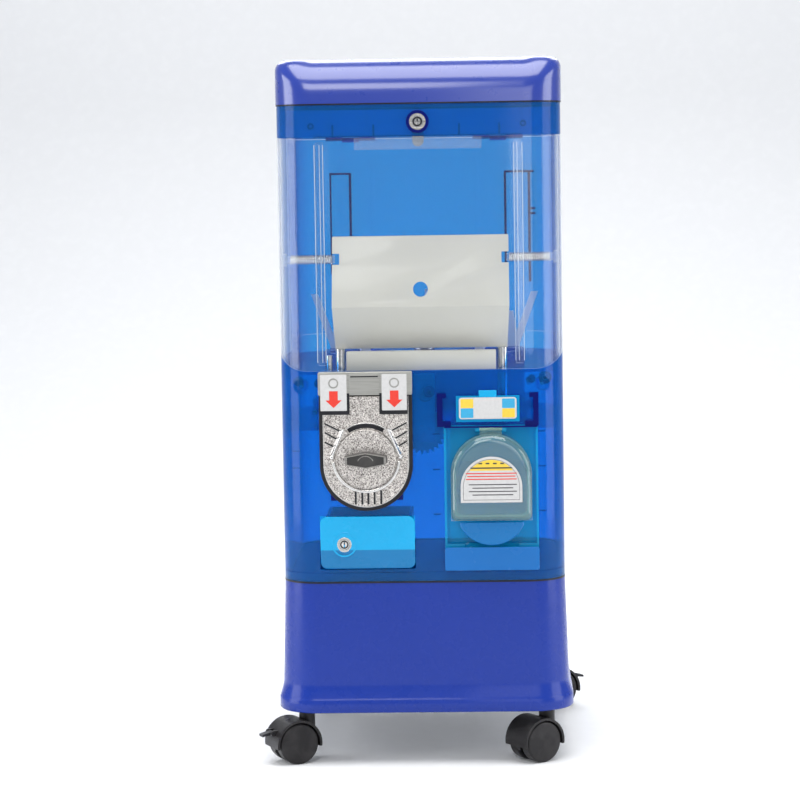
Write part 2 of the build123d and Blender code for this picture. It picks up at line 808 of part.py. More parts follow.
def coin_mech_head():
    """The smooth head across the plate's top, with the coin slot in its middle flat."""
    head = block(
        mech_x - mech_half_width - 0.2,
        mech_x + mech_half_width + 0.2,
        at(-head_out),
        at(-seat),
        head_bottom_z,
        head_top_z,
    )
    head = fillet(head.edges().filter_by(Axis.X).sort_by(Axis.Y)[:2], 2.5)
    head += block(
        mech_x - 17, mech_x + 17, at(-head_out - 1.2), at(-head_out + 1),
        head_bottom_z + 3, head_top_z - 3,
    )
    slot = block(mech_x - 14, mech_x + 14, at(-head_out - 5), at(1), knob_z + 86, knob_z + 88.4)
    return head - slot


def coin_mech_housing():
    """The housing behind the plate, with the coin way, the drum's chamber and the shaft's bush."""
    half = housing_half_width
    housing = block(mech_x - half, mech_x + half, at(0), at(housing_depth), housing_bottom_z, housing_top_z)
    housing -= rod_y(mech_x, knob_z, at(drum_from - 1), at(drum_to + 1), drum_radius + 1)
    coin_way = block(mech_x - 15, mech_x + 15, at(12), at(17), knob_z + 20, housing_top_z - 6)
    coin_exit = block(mech_x - 15, mech_x + 15, at(12), at(17), housing_bottom_z - 1, knob_z - 20)
    feed = block(mech_x - 15, mech_x + 15, at(-1), at(17), knob_z + 82, housing_top_z - 6)
    housing = housing - coin_way - coin_exit - feed
    housing += rod_y(mech_x, knob_z, at(housing_depth - 1), at(spur_from - 2), knob_shaft_radius + 5)
    return housing - rod_y(mech_x, knob_z, at(-1), at(60), knob_shaft_radius + fit)


def label_places():
    """The middle x of each instruction label on the head."""
    return [mech_x - label_offset_x, mech_x + label_offset_x]


def label_frames():
    """The black L-shaped holders under the two labels."""
    frames = []
    for x, side in zip(label_places(), (-1, 1)):
        frame = block(
            x - label_half_width,
            x + label_half_width,
            at(-head_out),
            at(-plate_out - seat),
            label_bottom_z - 3,
            head_bottom_z - seat,
        )
        edge = x - side * label_half_width
        x0, x1 = sorted((edge, edge - side * 3))
        front, back = at(-head_out), at(-plate_out - seat)
        frame += block(x0, x1, front, back, label_bottom_z - 3, head_bottom_z - seat)
        frames.append(frame)
    return frames


def coin_labels():
    """The two thin label plates on the head's face."""
    return [
        block(
            x - label_half_width,
            x + label_half_width,
            at(-head_out - 1),
            at(-head_out - seat),
            label_bottom_z,
            label_top_z,
        )
        for x in label_places()
    ]


def knob_disc():
    """The turning disc of the coin knob."""
    disc = rod_y(mech_x, knob_z, at(-plate_out - disc_thick), at(-plate_out - gap), knob_disc_radius)
    disc = fillet(disc.edges().sort_by(Axis.Y)[0], 1.2)
    return disc - rod_y(mech_x, knob_z, at(-50), at(10), knob_shaft_radius)


def grip_sketch(scale=1.0):
    """The grip's six-sided outline, tallest in the middle."""
    half, tall = grip_length / 2 * scale, grip_width / 2 * scale
    shape = outline(
        [
            (mech_x - half, knob_z - tall * grip_end_share),
            (mech_x - half, knob_z + tall * grip_end_share),
            (mech_x, knob_z + tall),
            (mech_x + half, knob_z + tall * grip_end_share),
            (mech_x + half, knob_z - tall * grip_end_share),
            (mech_x, knob_z - tall),
        ]
    )
    return fillet(shape.vertices(), 1.5)


def knob_grip():
    """The dark bar that the hand turns."""
    front = at(-plate_out - disc_thick - grip_height)
    grip = slab_y(grip_sketch(), front, at(-plate_out - disc_thick - seat / 2))
    return fillet(grip.faces().sort_by(Axis.Y)[0].outer_wire().edges(), 1.5)


def knob_shaft():
    """The shaft through the mechanism, with the nut that holds the drive gear."""
    shaft = rod_y(mech_x, knob_z, at(-plate_out - disc_thick), at(spur_to + 1), knob_shaft_radius)
    nut = RegularPolygon(knob_shaft_radius + 3, 6)
    return shaft + slab_y(Pos(mech_x, knob_z) * nut, at(spur_to + 0.05), at(spur_to + 4))


def coin_drum():
    """The notched drum inside the housing that carries the coins round."""
    drum = rod_y(mech_x, knob_z, at(drum_from), at(drum_to), drum_radius)
    drum -= rod_y(mech_x, knob_z, at(0), at(40), knob_shaft_radius)
    notch = block(mech_x - 13, mech_x + 13, at(11.5), at(17.5), knob_z + 12, knob_z + drum_radius + 2)
    return drum - notch


# ---------------------------------------------------------------- exit

def dome_sketch(radius):
    """The flap's D outline in X and Z: round on top, straight below."""
    bottom = dome_bottom_z + dome_radius - radius
    shape = Pos(exit_x, dome_centre_z) * Circle(radius)
    middle = (bottom + dome_centre_z) / 2
    shape += Pos(exit_x, middle) * Rectangle(2 * radius, dome_centre_z - bottom)
    shape -= Pos(exit_x, bottom - 100) * Rectangle(400, 200)
    return fillet(shape.vertices().group_by(Axis.Y)[0], 8)


def exit_flap():
    """The clear domed flap with its hinge barrel."""
    front, back = at(-dome_out), at(exit_recess - gap)
    dome = slab_y(dome_sketch(dome_radius), front, back)
    dome = fillet(dome.faces().sort_by(Axis.Y)[0].outer_wire().edges(), 9)
    hollow = slab_y(dome_sketch(dome_radius - dome_wall), front + dome_wall, back + 1)
    hollow = fillet(hollow.faces().sort_by(Axis.Y)[0].outer_wire().edges(), 6.5)
    dome -= hollow
    y = at(flap_axis_depth)
    reach = flap_ear_inner - gap
    barrel = rod_x(y, flap_axis_z, exit_x - reach, exit_x + reach, flap_barrel_radius)
    neck_bottom = dome_centre_z + dome_radius - 3
    barrel += block(exit_x - reach, exit_x + reach, y - 2, y + 2, neck_bottom, flap_axis_z)
    flap = dome + barrel
    flap -= rod_x(y, flap_axis_z, exit_x - 60, exit_x + 60, flap_pin_radius + fit)
    return flap


def flap_sticker():
    """The plain sticker inside the dome's front: round on top, straight below."""
    front = at(-dome_out) + dome_wall
    arch_z = sticker_bottom_z + sticker_straight
    shape = Pos(exit_x, arch_z) * Circle(sticker_radius)
    shape += Pos(exit_x, arch_z - sticker_radius / 2) * Rectangle(2 * sticker_radius, sticker_radius)
    shape -= Pos(exit_x, sticker_bottom_z - 100) * Rectangle(400, 200)
    shape = fillet(shape.vertices().group_by(Axis.Y)[0], sticker_corner)
    return slab_y(shape, front + seat / 2, front + 0.5)


def exit_module():
    """The recessed exit surround: side walls, a lip shelf, the lower front and the flap's ears."""
    x0, x1 = exit_x - exit_half_width, exit_x + exit_half_width
    z0, z1 = exit_bottom_z, exit_top_z
    module = block(x0, x1, at(0), at(exit_recess + 2.5), z0, z1)
    module -= block(x0 + 2.5, x1 - 2.5, at(-1), at(exit_recess), lip_z + 3, z1 - 2.5)
    module -= block(x0 + 2.5, x1 - 2.5, at(2.5), at(exit_recess + 1), z0 + 2.5, lip_z)
    module -= slab_y(dome_sketch(dome_radius - 5), at(0), at(40))
    scoop = rod_x(at(-4), lip_z + 6, exit_x - 30, exit_x + 30, 9)
    module -= scoop
    for side in (-1, 1):
        ear_outer = flap_ear_inner + flap_ear_thick
        low, high = sorted((exit_x + side * flap_ear_inner, exit_x + side * ear_outer))
        ear = rod_x(at(flap_axis_depth), flap_axis_z, low, high, flap_barrel_radius)
        ear += block(low, high, at(flap_axis_depth), at(2), flap_axis_z - flap_barrel_radius, z1)
        module += ear
    module -= rod_x(at(flap_axis_depth), flap_axis_z, x0, x1, flap_pin_radius)
    return module


def exit_chute():
    """The sloping way from the drop hole to the flap: a floor, two sides, a back and a short roof."""
    roof_z = floor_flange_z - seat
    (front_depth, front_z), (back_depth, back_z) = chute_front, chute_back
    side = outline(
        [
            (at(front_depth), front_z - chute_wall),
            (at(back_depth), back_z - chute_wall),
            (at(back_depth), roof_z),
            (at(front_depth), roof_z),
        ]
    )
    hollow = outline(
        [
            (at(front_depth - 1), front_z),
            (at(back_depth - chute_wall), back_z),
            (at(back_depth - chute_wall), roof_z + 1),
            (at(drop_front_depth), roof_z + 1),
            (at(drop_front_depth), roof_z - chute_wall),
            (at(front_depth - 1), roof_z - chute_wall),
        ]
    )
    x0, x1 = exit_x - 1 - chute_half_width, exit_x - 1 + chute_half_width
    return slab_x(side, x0, x1) - slab_x(hollow, x0 + chute_wall, x1 - chute_wall)


# ---------------------------------------------------------------- coin drawer
def drawer_lock_hole(radius):
    """A round hole through the drawer's front for its lock."""
    return rod_y(drawer_lock_x, drawer_lock_z, at(-20), at(30), radius)


def drawer_front():
    """The drawer's coloured front, creased across and with a round recess for the lock."""
    x0, x1 = mech_x - drawer_half_width, mech_x + drawer_half_width
    back = at(wall)
    section = outline(
        [
            (at(-drawer_out), drawer_crease_z),
            (at(-drawer_out), drawer_top_z),
            (back, drawer_top_z),
            (back, drawer_bottom_z),
            (at(0), drawer_bottom_z),
        ]
    )
    front = slab_x(section, x0, x1)
    front = fillet(front.edges().filter_by(Axis.Y).group_by(Axis.Z)[-1], 5)
    front -= rod_y(drawer_lock_x, drawer_lock_z, at(-20), at(-0.5), drawer_lock_recess)
    return front - drawer_lock_hole(drawer_lock_radius)


def coin_tray():
    """The steel tray that the coins fall into."""
    x0, x1 = mech_x - tray_half_width, mech_x + tray_half_width
    z0, z1 = drawer_bottom_z + 3, drawer_top_z - 5
    y0, y1 = at(wall), at(wall + tray_length)
    tray = block(x0, x1, y0, y1, z0, z1)
    tray -= block(x0 + tray_wall, x1 - tray_wall, y0 + tray_wall, y1 - tray_wall, z0 + tray_wall, z1 + 1)
    return tray - drawer_lock_hole(drawer_lock_radius)


def coin_box_sleeve():
    """The fixed sleeve that the tray slides in, open on top where the coins fall."""
    x0, x1 = mech_x - tray_half_width - gap - sleeve_wall, mech_x + tray_half_width + gap + sleeve_wall
    z0, z1 = drawer_bottom_z + 3 - gap - sleeve_wall, drawer_top_z - 5
    y0, y1 = at(wall + gap), at(wall + tray_length + gap + sleeve_wall)
    sleeve = block(x0, x1, y0, y1, z0, z1)
    inside_back = y1 - sleeve_wall
    return sleeve - block(
        x0 + sleeve_wall, x1 - sleeve_wall, y0 - 1, inside_back, z0 + sleeve_wall, z1 + 1
    )


def lock_barrel(x, z, flange_radius, barrel_radius, face_depth, back_depth):
    """A cam lock's fixed barrel, with its face flange and the bore for its plug."""
    barrel = rod_y(x, z, at(face_depth), at(back_depth), barrel_radius)
    flange = rod_y(x, z, at(face_depth), at(face_depth + 2), flange_radius)
    barrel += fillet(flange.edges().sort_by(Axis.Y)[0], 0.8)
    return barrel - rod_y(x, z, at(face_depth - 1), at(back_depth + 1), lock_plug_radius + fit)


def lock_plug(x, z, face_depth, back_depth, cam_end, cam_half_width):
    """A cam lock's turning plug with its keyway, and the cam plate bolted to its back end."""
    plug = rod_y(x, z, at(face_depth - 0.3), at(back_depth + gap), lock_plug_radius)
    plug -= block(x - 0.7, x + 0.7, at(face_depth - 1), at(face_depth + 4), z - 3.5, z + 3.5)
    low, high = sorted((z, cam_end + (cam_half_width if cam_end < z else -cam_half_width)))
    shape = Pos(x, (low + high) / 2) * Rectangle(2 * cam_half_width, high - low)
    shape += Pos(x, high) * Circle(cam_half_width) + Pos(x, low) * Circle(cam_half_width)
    return plug + slab_y(shape, at(back_depth + gap), at(back_depth + gap + 2.5))


def drawer_lock_barrel():
    """The drawer lock's barrel."""
    radius = drawer_lock_radius - seat
    place = (drawer_lock_x, drawer_lock_z)
    return lock_barrel(*place, drawer_lock_radius + 1, radius, drawer_lock_face, drawer_lock_back) & (
        rod_y(*place, at(-20), at(-0.5 - seat), 40) + rod_y(*place, at(-1), at(40), radius)
    )


def drawer_lock_plug():
    """The drawer lock's plug and cam."""
    return lock_plug(
        drawer_lock_x, drawer_lock_z, drawer_lock_face, drawer_lock_back, drawer_lock_z + 18, 5
    )


# ---------------------------------------------------------------- lid

def top_cap():
    """The opaque cap: a shell with a broad rounding round its top, open below."""
    size = (body_width + 2 * cap_overhang, body_depth + 2 * cap_overhang)
    radius = body_corner + cap_overhang
    plan = RectangleRounded(*size, radius)
    cap = extrude(Pos(0, body_y, skirt_top_z) * plan, cap_top_z - skirt_top_z)
    cap = fillet(cap.edges().group_by(Axis.Z)[-1], cap_rounding)
    inner_plan = RectangleRounded(size[0] - 2 * wall, size[1] - 2 * wall, radius - wall)
    inner = extrude(Pos(0, body_y, skirt_top_z - 1) * inner_plan, cap_top_z - wall - skirt_top_z + 1)
    inner = fillet(inner.edges().group_by(Axis.Z)[-1], cap_rounding - wall)
    return cap - inner


def lid_skirt():
    """The translucent band under the cap, with stiffening ribs, the lock's hole and the hinge knuckles."""
    top = skirt_top_z - seat
    skirt = body_ring(skirt_bottom_z, top)
    for x in (-122, -98, -56, 40, 87, 114):
        skirt += block(x - 1.2, x + 1.2, at(wall - 0.5), at(wall + 7), skirt_bottom_z + 8, top)
    skirt -= rod_y(0, lid_lock_z, at(-10), at(30), lid_lock_radius)
    for side in (-1, 1):
        x = side * hinge_x
        reach = knuckle_length / 2
        knuckle = rod_x(hinge_y, hinge_z, x - reach, x + reach, hinge_radius)
        back = hinge_y + hinge_radius
        knuckle += block(x - reach, x + reach, rear_y - 0.5, back, skirt_bottom_z + 1, skirt_bottom_z + 14)
        knuckle -= everything(-600, rear_y - 0.5)
        knuckle += block(x - reach, x + reach, hinge_y - 2, back, hinge_z, skirt_bottom_z + 2)
        skirt += knuckle
        skirt -= rod_x(hinge_y, hinge_z, x - 30, x + 30, hinge_pin_radius + fit)
    return skirt


def lid_lock_barrel():
    """The lid lock's barrel, flanged against the skirt's face."""
    place = (0, lid_lock_z)
    barrel = lock_barrel(*place, lid_lock_flange, lid_lock_radius - seat, lid_lock_face, lid_lock_back)
    spare = rod_y(*place, at(-seat), at(40), 40)
    spare -= rod_y(*place, at(-1), at(41), lid_lock_radius - seat)
    return barrel - spare


def lid_lock_plug():
    """The lid lock's plug and its downward tongue."""
    return lock_plug(0, lid_lock_z, lid_lock_face, lid_lock_back, tongue_bottom_z, tongue_width / 2)


# ---------------------------------------------------------------- card and brackets
def card_holder():
    """The clear sleeve over the instruction card, with the tab above it."""
    x0, x1 = card_x - card_half_width - 3, card_x + card_half_width + 3
    holder = block(x0, x1, at(-3), at(-seat), card_bottom_z - 3, card_top_z + 2)
    holder -= block(x0 + 3, x1 - 3, at(-2.2), at(1), card_bottom_z, card_top_z + 3)
    return holder + block(card_x - 10, card_x + 10, at(-3), at(-2.2), card_top_z + 1, card_top_z + 8)


def instruction_card():
    """The plain card in its holder."""
    return block(
        card_x - card_half_width + 0.2, card_x + card_half_width - 0.2, at(-2), at(-0.4),
        card_bottom_z + 0.2, card_top_z,
    )


def window_brackets():
    """The two dark J-shaped brackets beside the card."""
    brackets = []
    for x, side in ((card_x - card_half_width - 21, -1), (card_x + card_half_width + 21, 1)):
        stem = block(x - 3, x + 3, at(-4), at(-seat), 379, 416)
        foot_end = x - side * 12
        x0, x1 = sorted((x, foot_end))
        stem += block(x0, x1, at(-4), at(-seat), 379, 385)
        x0, x1 = sorted((x, x - side * 7))
        stem += block(x0, x1, at(-4), at(-seat), 411, 416)
        brackets.append(stem)
    return brackets


# ---------------------------------------------------------------- castors
def castor_local(shape, place):
    """A shape drawn with its stem on the Z axis and its trail along +X, put at a castor's place."""
    x, y, turn = place
    return Pos(x, y, 0) * Rot(0, 0, turn) * shape


def castor_hood(place, braked):
    """A twin-wheel castor's frame: hood, web between the wheels, swivel boss and stem."""
    axle_z = castor_wheel_radius
    half = castor_web / 2 + gap + castor_wheel_width + 1
    clear = rod_y(castor_trail, axle_z, -half - 1, half + 1, hood_inner)
    hood = rod_y(castor_trail, axle_z, -half, half, hood_outer) - clear
    hood &= block(-60, 60, -60, 60, axle_z - 4, 200)
    web = rod_y(castor_trail, axle_z, -castor_web / 2, castor_web / 2, hood_inner + 0.5)
    web &= block(-60, 60, -60, 60, axle_z - 8, 200)
    boss_top = plate_z0 - gap
    boss = rod_z(0, 0, axle_z, boss_top, 9) - clear
    boss &= block(-60, 60, -60, 60, axle_z + 6, 200)
    frame = hood + web + boss
    frame += rod_z(0, 0, boss_top - 1, socket_top_z - 1, castor_stem_radius)
    frame -= rod_y(castor_trail, axle_z, -60, 60, castor_axle_radius + fit)
    if braked:
        for side in (-1, 1):
            low, high = sorted((side * 5.3, side * 8.3))
            ear = rod_y(lever_x, lever_z, low, high, 3)
            ear += block(lever_x - 6, lever_x, low, high, lever_z - 3, lever_z + 3) - clear
            frame += ear
        frame -= rod_y(lever_x, lever_z, -60, 60, 1.5 + fit)
    return castor_local(frame, place)


def castor_wheels(place):
    """The twin wheels and their axle."""
    axle_z = castor_wheel_radius
    inner = castor_web / 2 + gap
    outer = inner + castor_wheel_width
    pair = rod_y(castor_trail, axle_z, -inner - 1, inner + 1, castor_axle_radius)
    for side in (-1, 1):
        low, high = sorted((side * inner, side * outer))
        wheel = rod_y(castor_trail, axle_z, low, high, castor_wheel_radius)
        wheel = fillet(wheel.edges().filter_by(GeomType.CIRCLE), 2.5)
        pair += wheel
    return castor_local(pair, place)


def brake_lever(place):
    """A castor's brake lever: a tab on a small cross pin."""
    lever = rod_y(lever_x, lever_z, -5, 5, 2.3) + rod_y(lever_x, lever_z, -8, 8, 1.5)
    tip_x = lever_x + 12
    corners = [(lever_x, lever_z - 1.6), (tip_x, lever_z - 3.4), (tip_x, lever_z - 0.8)]
    tab = outline(corners + [(lever_x, lever_z + 2)])
    lever += slab_y(tab, -5, 5)
    return castor_local(lever, place)


# ---------------------------------------------------------------- all the nodes
def panel_with_screw_holes():
    """The front panel with the holes for the coin mechanism's screws."""
    panel = front_panel()
    for hole in mech_screw_holes():
        panel -= hole
    return panel


def build_all():
    """Writes every node."""
    os.makedirs("parts", exist_ok=True)
    single = [
        base_skirt, base_plate, lower_shell, clear_window, window_latch_rail, rear_shell, hopper_shelf,
        wheel_floor, wheel_pivot, baffle_panel, guard_trough, coin_mech_plate, coin_mech_head,
        coin_mech_housing, exit_module, exit_chute, card_holder, instruction_card, coin_box_sleeve,
        transfer_bracket, top_cap, lid_skirt, lid_lock_barrel, lid_lock_plug, drawer_front, coin_tray,
        drawer_lock_barrel, drawer_lock_plug, knob_disc, knob_grip, knob_shaft, coin_drum, drive_gear,
        pinion_shaft, transfer_gear, capsule_wheel, exit_flap, flap_sticker,
    ]
    groups = [
        window_rails, baffle_posts, spring_pins, baffle_springs, label_frames, coin_labels, body_screws,
        hinge_pins, window_brackets, agitator_fins,
    ]
    for make in single:
        save(make.__name__, make())
    for make in groups:
        save(make.__name__, *make())
    save("front_panel", panel_with_screw_holes())
    for name, place in castor_places().items():
        braked = name in ("front_left", "rear_right")
        save(f"castor_hood_{name}", castor_hood(place, braked))
        save(f"castor_wheels_{name}", castor_wheels(place))
        if braked:
            save(f"brake_lever_{name}", brake_lever(place))


build_all()
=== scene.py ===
"""The looks of a capsule-toy vending machine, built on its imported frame.

Lengths are in metres. The machine's front faces -Y, and every place comes from the frame's nodes.
"""

import logging
import math
from abc import ABC, abstractmethod
from dataclasses import dataclass
from enum import Enum

import bmesh
import bpy
from mathutils import Matrix, Vector


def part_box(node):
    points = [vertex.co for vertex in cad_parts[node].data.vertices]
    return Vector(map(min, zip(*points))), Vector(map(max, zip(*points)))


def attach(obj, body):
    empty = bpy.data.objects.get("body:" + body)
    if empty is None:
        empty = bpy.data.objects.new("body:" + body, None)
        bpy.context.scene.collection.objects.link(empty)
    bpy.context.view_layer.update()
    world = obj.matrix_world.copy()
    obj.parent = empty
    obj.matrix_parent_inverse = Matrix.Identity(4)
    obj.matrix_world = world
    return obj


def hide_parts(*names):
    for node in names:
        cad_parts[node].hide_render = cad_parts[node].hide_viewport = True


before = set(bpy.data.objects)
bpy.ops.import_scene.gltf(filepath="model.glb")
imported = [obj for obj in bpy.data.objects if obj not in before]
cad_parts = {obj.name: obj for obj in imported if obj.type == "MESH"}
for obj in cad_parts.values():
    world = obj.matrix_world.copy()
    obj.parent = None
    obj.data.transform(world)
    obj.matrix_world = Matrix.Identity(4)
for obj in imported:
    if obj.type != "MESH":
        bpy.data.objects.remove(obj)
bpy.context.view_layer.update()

MM = 0.001
ROUND_LIMIT = 50.0
PRINT_GAP = 0.00001
PRINT_DEPTH = 0.00012
INK_DEPTH = 0.00008
Point = tuple[float, float]
Point3 = tuple[float, float, float]
Colour = tuple[float, float, float]
Socket = bpy.types.NodeSocket
Vert = bmesh.types.BMVert
log = logging.getLogger("capsule_machine")


class Body(str, Enum):
    """The moving bodies that pieces ride on."""

    CABINET = "cabinet"
    LID = "lid"
    LID_LOCK = "lid_lock"
    DRAWER = "drawer"
    DRAWER_LOCK = "drawer_lock"
    KNOB = "knob"
    FLAP = "flap"


class Edge(float, Enum):
    """How far a moulded or cut edge is broken, in metres."""

    MOULDED = 0.0007


# ---------------------------------------------------------------- finishes
class NodeBench:
    """Adds nodes to a tree."""

    tree: bpy.types.NodeTree

    def add(self, kind: str, inputs: dict | None = None, **settings: object) -> bpy.types.Node:
        """Adds a node.

        Args:
            kind: The node's type name.
            inputs: A value or another node's output for each input, by name or number.
            **settings: The node's own properties.

        Returns:
            The new node.
        """
        node = self.tree.nodes.new(kind)
        for name, value in settings.items():
            setattr(node, name, value)
        for name, value in (inputs or {}).items():
            if isinstance(value, Socket):
                self.tree.links.new(value, node.inputs[name])
            else:
                node.inputs[name].default_value = value
        return node


class FinishBench(NodeBench):
    """Lays out the nodes of one material."""

    def __init__(self, name: str) -> None:
        """Starts an empty material.

        Args:
            name: The material's name.
        """
        self.material = bpy.data.materials.new(name)
        self.material.use_nodes = True
        self.tree = self.material.node_tree
        self.tree.nodes.clear()
        self.output = self.tree.nodes.new("ShaderNodeOutputMaterial")
        self.place = self.tree.nodes.new("ShaderNodeTexCoord").outputs["Object"]

    def noise(self, scale: float, detail: float = 2.0, distortion: float = 0.0) -> Socket:
        """Gives a soft random value over the surface.

        Args:
            scale: Lumps per metre, roughly.
            detail: How many finer layers it has.
            distortion: How far it is swirled.

        Returns:
            The value's socket.
        """
        inputs = {"Vector": self.place, "Scale": scale, "Detail": detail, "Distortion": distortion}
        return self.add("ShaderNodeTexNoise", inputs).outputs["Fac"]

    def stretched(self, stretch: tuple[float, float, float]) -> Socket:
        """Gives coordinates stretched along the axes, for brushed and streaked patterns."""
        node = self.add("ShaderNodeMapping", {"Vector": self.place, "Scale": stretch})
        return node.outputs["Vector"]

    def ramp(self, value: Socket, stops: list[tuple[float, Colour]]) -> Socket:
        """Turns a value into a colour.

        Args:
            value: The value, from 0 to 1.
            stops: Each colour and where it stands.

        Returns:
            The colour's socket.
        """
        node = self.add("ShaderNodeValToRGB", {"Fac": value})
        elements = node.color_ramp.elements
        while len(elements) < len(stops):
            elements.new(0.5)
        for element, (position, colour) in zip(elements, stops):
            element.position = position
            element.color = (*colour, 1.0)
        return node.outputs["Color"]

    def between(self, value: Socket, low: float, high: float) -> Socket:
        """Spreads a value from 0.3 to 0.7 over the range low to high."""
        inputs = {"Value": value, "From Min": 0.3, "From Max": 0.7, "To Min": low, "To Max": high}
        return self.add("ShaderNodeMapRange", inputs).outputs["Result"]

    def bump(self, height: Socket, distance: float, strength: float = 1.0) -> Socket:
        """Turns a height into a normal.

        Args:
            height: The height's socket, from 0 to 1.
            distance: What a height of 1 stands for, in metres.
            strength: How much of it shows.

        Returns:
            The normal's socket.
        """
        inputs = {"Height": height, "Distance": distance, "Strength": strength}
        return self.add("ShaderNodeBump", inputs).outputs["Normal"]

    def finish(self, shader: bpy.types.Node) -> bpy.types.Material:
        """Puts the shader on the surface and gives the material back."""
        output = shader.outputs.get("BSDF") or shader.outputs[0]
        self.tree.links.new(output, self.output.inputs["Surface"])
        return self.material


@dataclass(frozen=True)
class Finish(ABC):
    """A finish that can be laid on a piece."""

    name: str

    @abstractmethod
    def make(self) -> bpy.types.Material:
        """Builds the finish's material."""

    def material(self) -> bpy.types.Material:
        """Gives the finish's material, built once."""
        return bpy.data.materials.get(self.name) or self.make()


@dataclass(frozen=True)
class MouldedGloss(Finish):
    """Opaque moulded plastic with a high shine and a faint orange peel."""

    colour: Colour = (0.03, 0.06, 0.40)
    shade: float = 0.86
    roughness: float = 0.16
    peel: float = 0.000002
    coat: float = 0.3
    coat_roughness: float = 0.07
    coat_ior: float = 1.5

    def make(self) -> bpy.types.Material:
        """Builds the finish's material."""
        bench = FinishBench(self.name)
        cloud = bench.noise(9.0, 3.0)
        low = tuple(c * self.shade for c in self.colour)
        grain = bench.noise(420.0, 3.0)
        wear = bench.noise(60.0, 4.0)
        shader = bench.add(
            "ShaderNodeBsdfPrincipled",
            {
                "Base Color": bench.ramp(cloud, [(0.35, low), (0.65, self.colour)]),
                "Roughness": bench.between(wear, self.roughness * 0.8, self.roughness * 1.35),
                "Normal": bench.bump(grain, self.peel),
                "Specular IOR Level": 0.18,
                "Coat Weight": self.coat,
                "Coat Roughness": self.coat_roughness,
                "Coat IOR": self.coat_ior,
            },
        )
        return bench.finish(shader)


@dataclass(frozen=True)
class SeeThrough(Finish):
    """See-through moulded plastic: tinted where light passes, glossy on top, darker towards its edges."""

    tint: Colour = (0.25, 0.62, 0.93)
    edge_tint: Colour = (0.05, 0.20, 0.70)
    body: Colour = (0.01, 0.16, 0.60)
    body_share: float = 0.25
    roughness: float = 0.05
    edge_share: float = 0.45
    edge_falloff: float = 3.0
    gloss_straight_on: float = 0.018
    gloss_aslant: float = 0.75
    gloss_falloff: float = 4.5

    def make(self) -> bpy.types.Material:
        """Builds the finish's material."""
        bench = FinishBench(self.name)
        facing = bench.add("ShaderNodeLayerWeight", {"Blend": 0.25}).outputs["Facing"]
        tint = bench.ramp(facing, [(0.0, self.tint), (1.0, self.edge_tint)])
        clear = bench.add("ShaderNodeBsdfTransparent", {"Color": tint})
        low = tuple(c * 0.9 for c in self.body)
        milk = bench.add(
            "ShaderNodeBsdfPrincipled",
            {
                "Base Color": bench.ramp(bench.noise(6.0, 2.0), [(0.3, low), (0.7, self.body)]),
                "Roughness": bench.between(bench.noise(80.0, 3.0), self.roughness, self.roughness * 2.2),
                "Specular IOR Level": 0.0,
            },
        )
        rim = bench.add("ShaderNodeLayerWeight", {"Blend": 0.5}).outputs["Facing"]
        rim = bench.add("ShaderNodeMath", {0: rim, 1: self.edge_falloff}, operation="POWER").outputs[0]
        inputs = {"Value": rim, "To Min": self.body_share, "To Max": self.edge_share}
        cloudiness = bench.add("ShaderNodeMapRange", inputs).outputs["Result"]
        film = bench.add("ShaderNodeMixShader", {"Fac": cloudiness})
        bench.tree.links.new(clear.outputs["BSDF"], film.inputs[1])
        bench.tree.links.new(milk.outputs["BSDF"], film.inputs[2])
        smear = bench.between(bench.noise(40.0, 3.0), self.roughness * 0.8, self.roughness * 1.5)
        gloss = bench.add("ShaderNodeBsdfGlossy", {"Roughness": smear})
        slant = bench.add("ShaderNodeLayerWeight", {"Blend": 0.5}).outputs["Facing"]
        rise = bench.add("ShaderNodeMath", {0: slant, 1: self.gloss_falloff}, operation="POWER").outputs[0]
        inputs = {"Value": rise, "To Min": self.gloss_straight_on, "To Max": self.gloss_aslant}
        sheen = bench.add("ShaderNodeMapRange", inputs).outputs["Result"]
        surface = bench.add("ShaderNodeMixShader", {"Fac": sheen})
        bench.tree.links.new(film.outputs["Shader"], surface.inputs[1])
        bench.tree.links.new(gloss.outputs["BSDF"], surface.inputs[2])
        return bench.finish(surface)


@dataclass(frozen=True)
class HammeredChrome(Finish):
    """Cast metal with a hammered, sparkling face."""

    light: Colour = (0.84, 0.80, 0.76)
    middle: Colour = (0.44, 0.41, 0.385)
    dark: Colour = (0.12, 0.108, 0.098)
    grain_size: float = 0.0009
    depth: float = 0.00022

    def make(self) -> bpy.types.Material:
        """Builds the finish's material."""
        bench = FinishBench(self.name)
        scale = 1.0 / self.grain_size
        inputs = {"Vector": bench.place, "Scale": scale, "Randomness": 1.0}
        cells = bench.add("ShaderNodeTexVoronoi", inputs, feature="SMOOTH_F1")
        speckle = bench.noise(scale * 0.75, 3.0, 0.6)
        shader = bench.add(
            "ShaderNodeBsdfPrincipled",
            {
                "Base Color": bench.ramp(
                    speckle, [(0.33, self.dark), (0.47, self.middle), (0.64, self.light)]
                ),
                "Metallic": 0.85,
                "Roughness": bench.between(speckle, 0.22, 0.42),
                "Normal": bench.bump(cells.outputs["Distance"], self.depth),
            },
        )
        return bench.finish(shader)


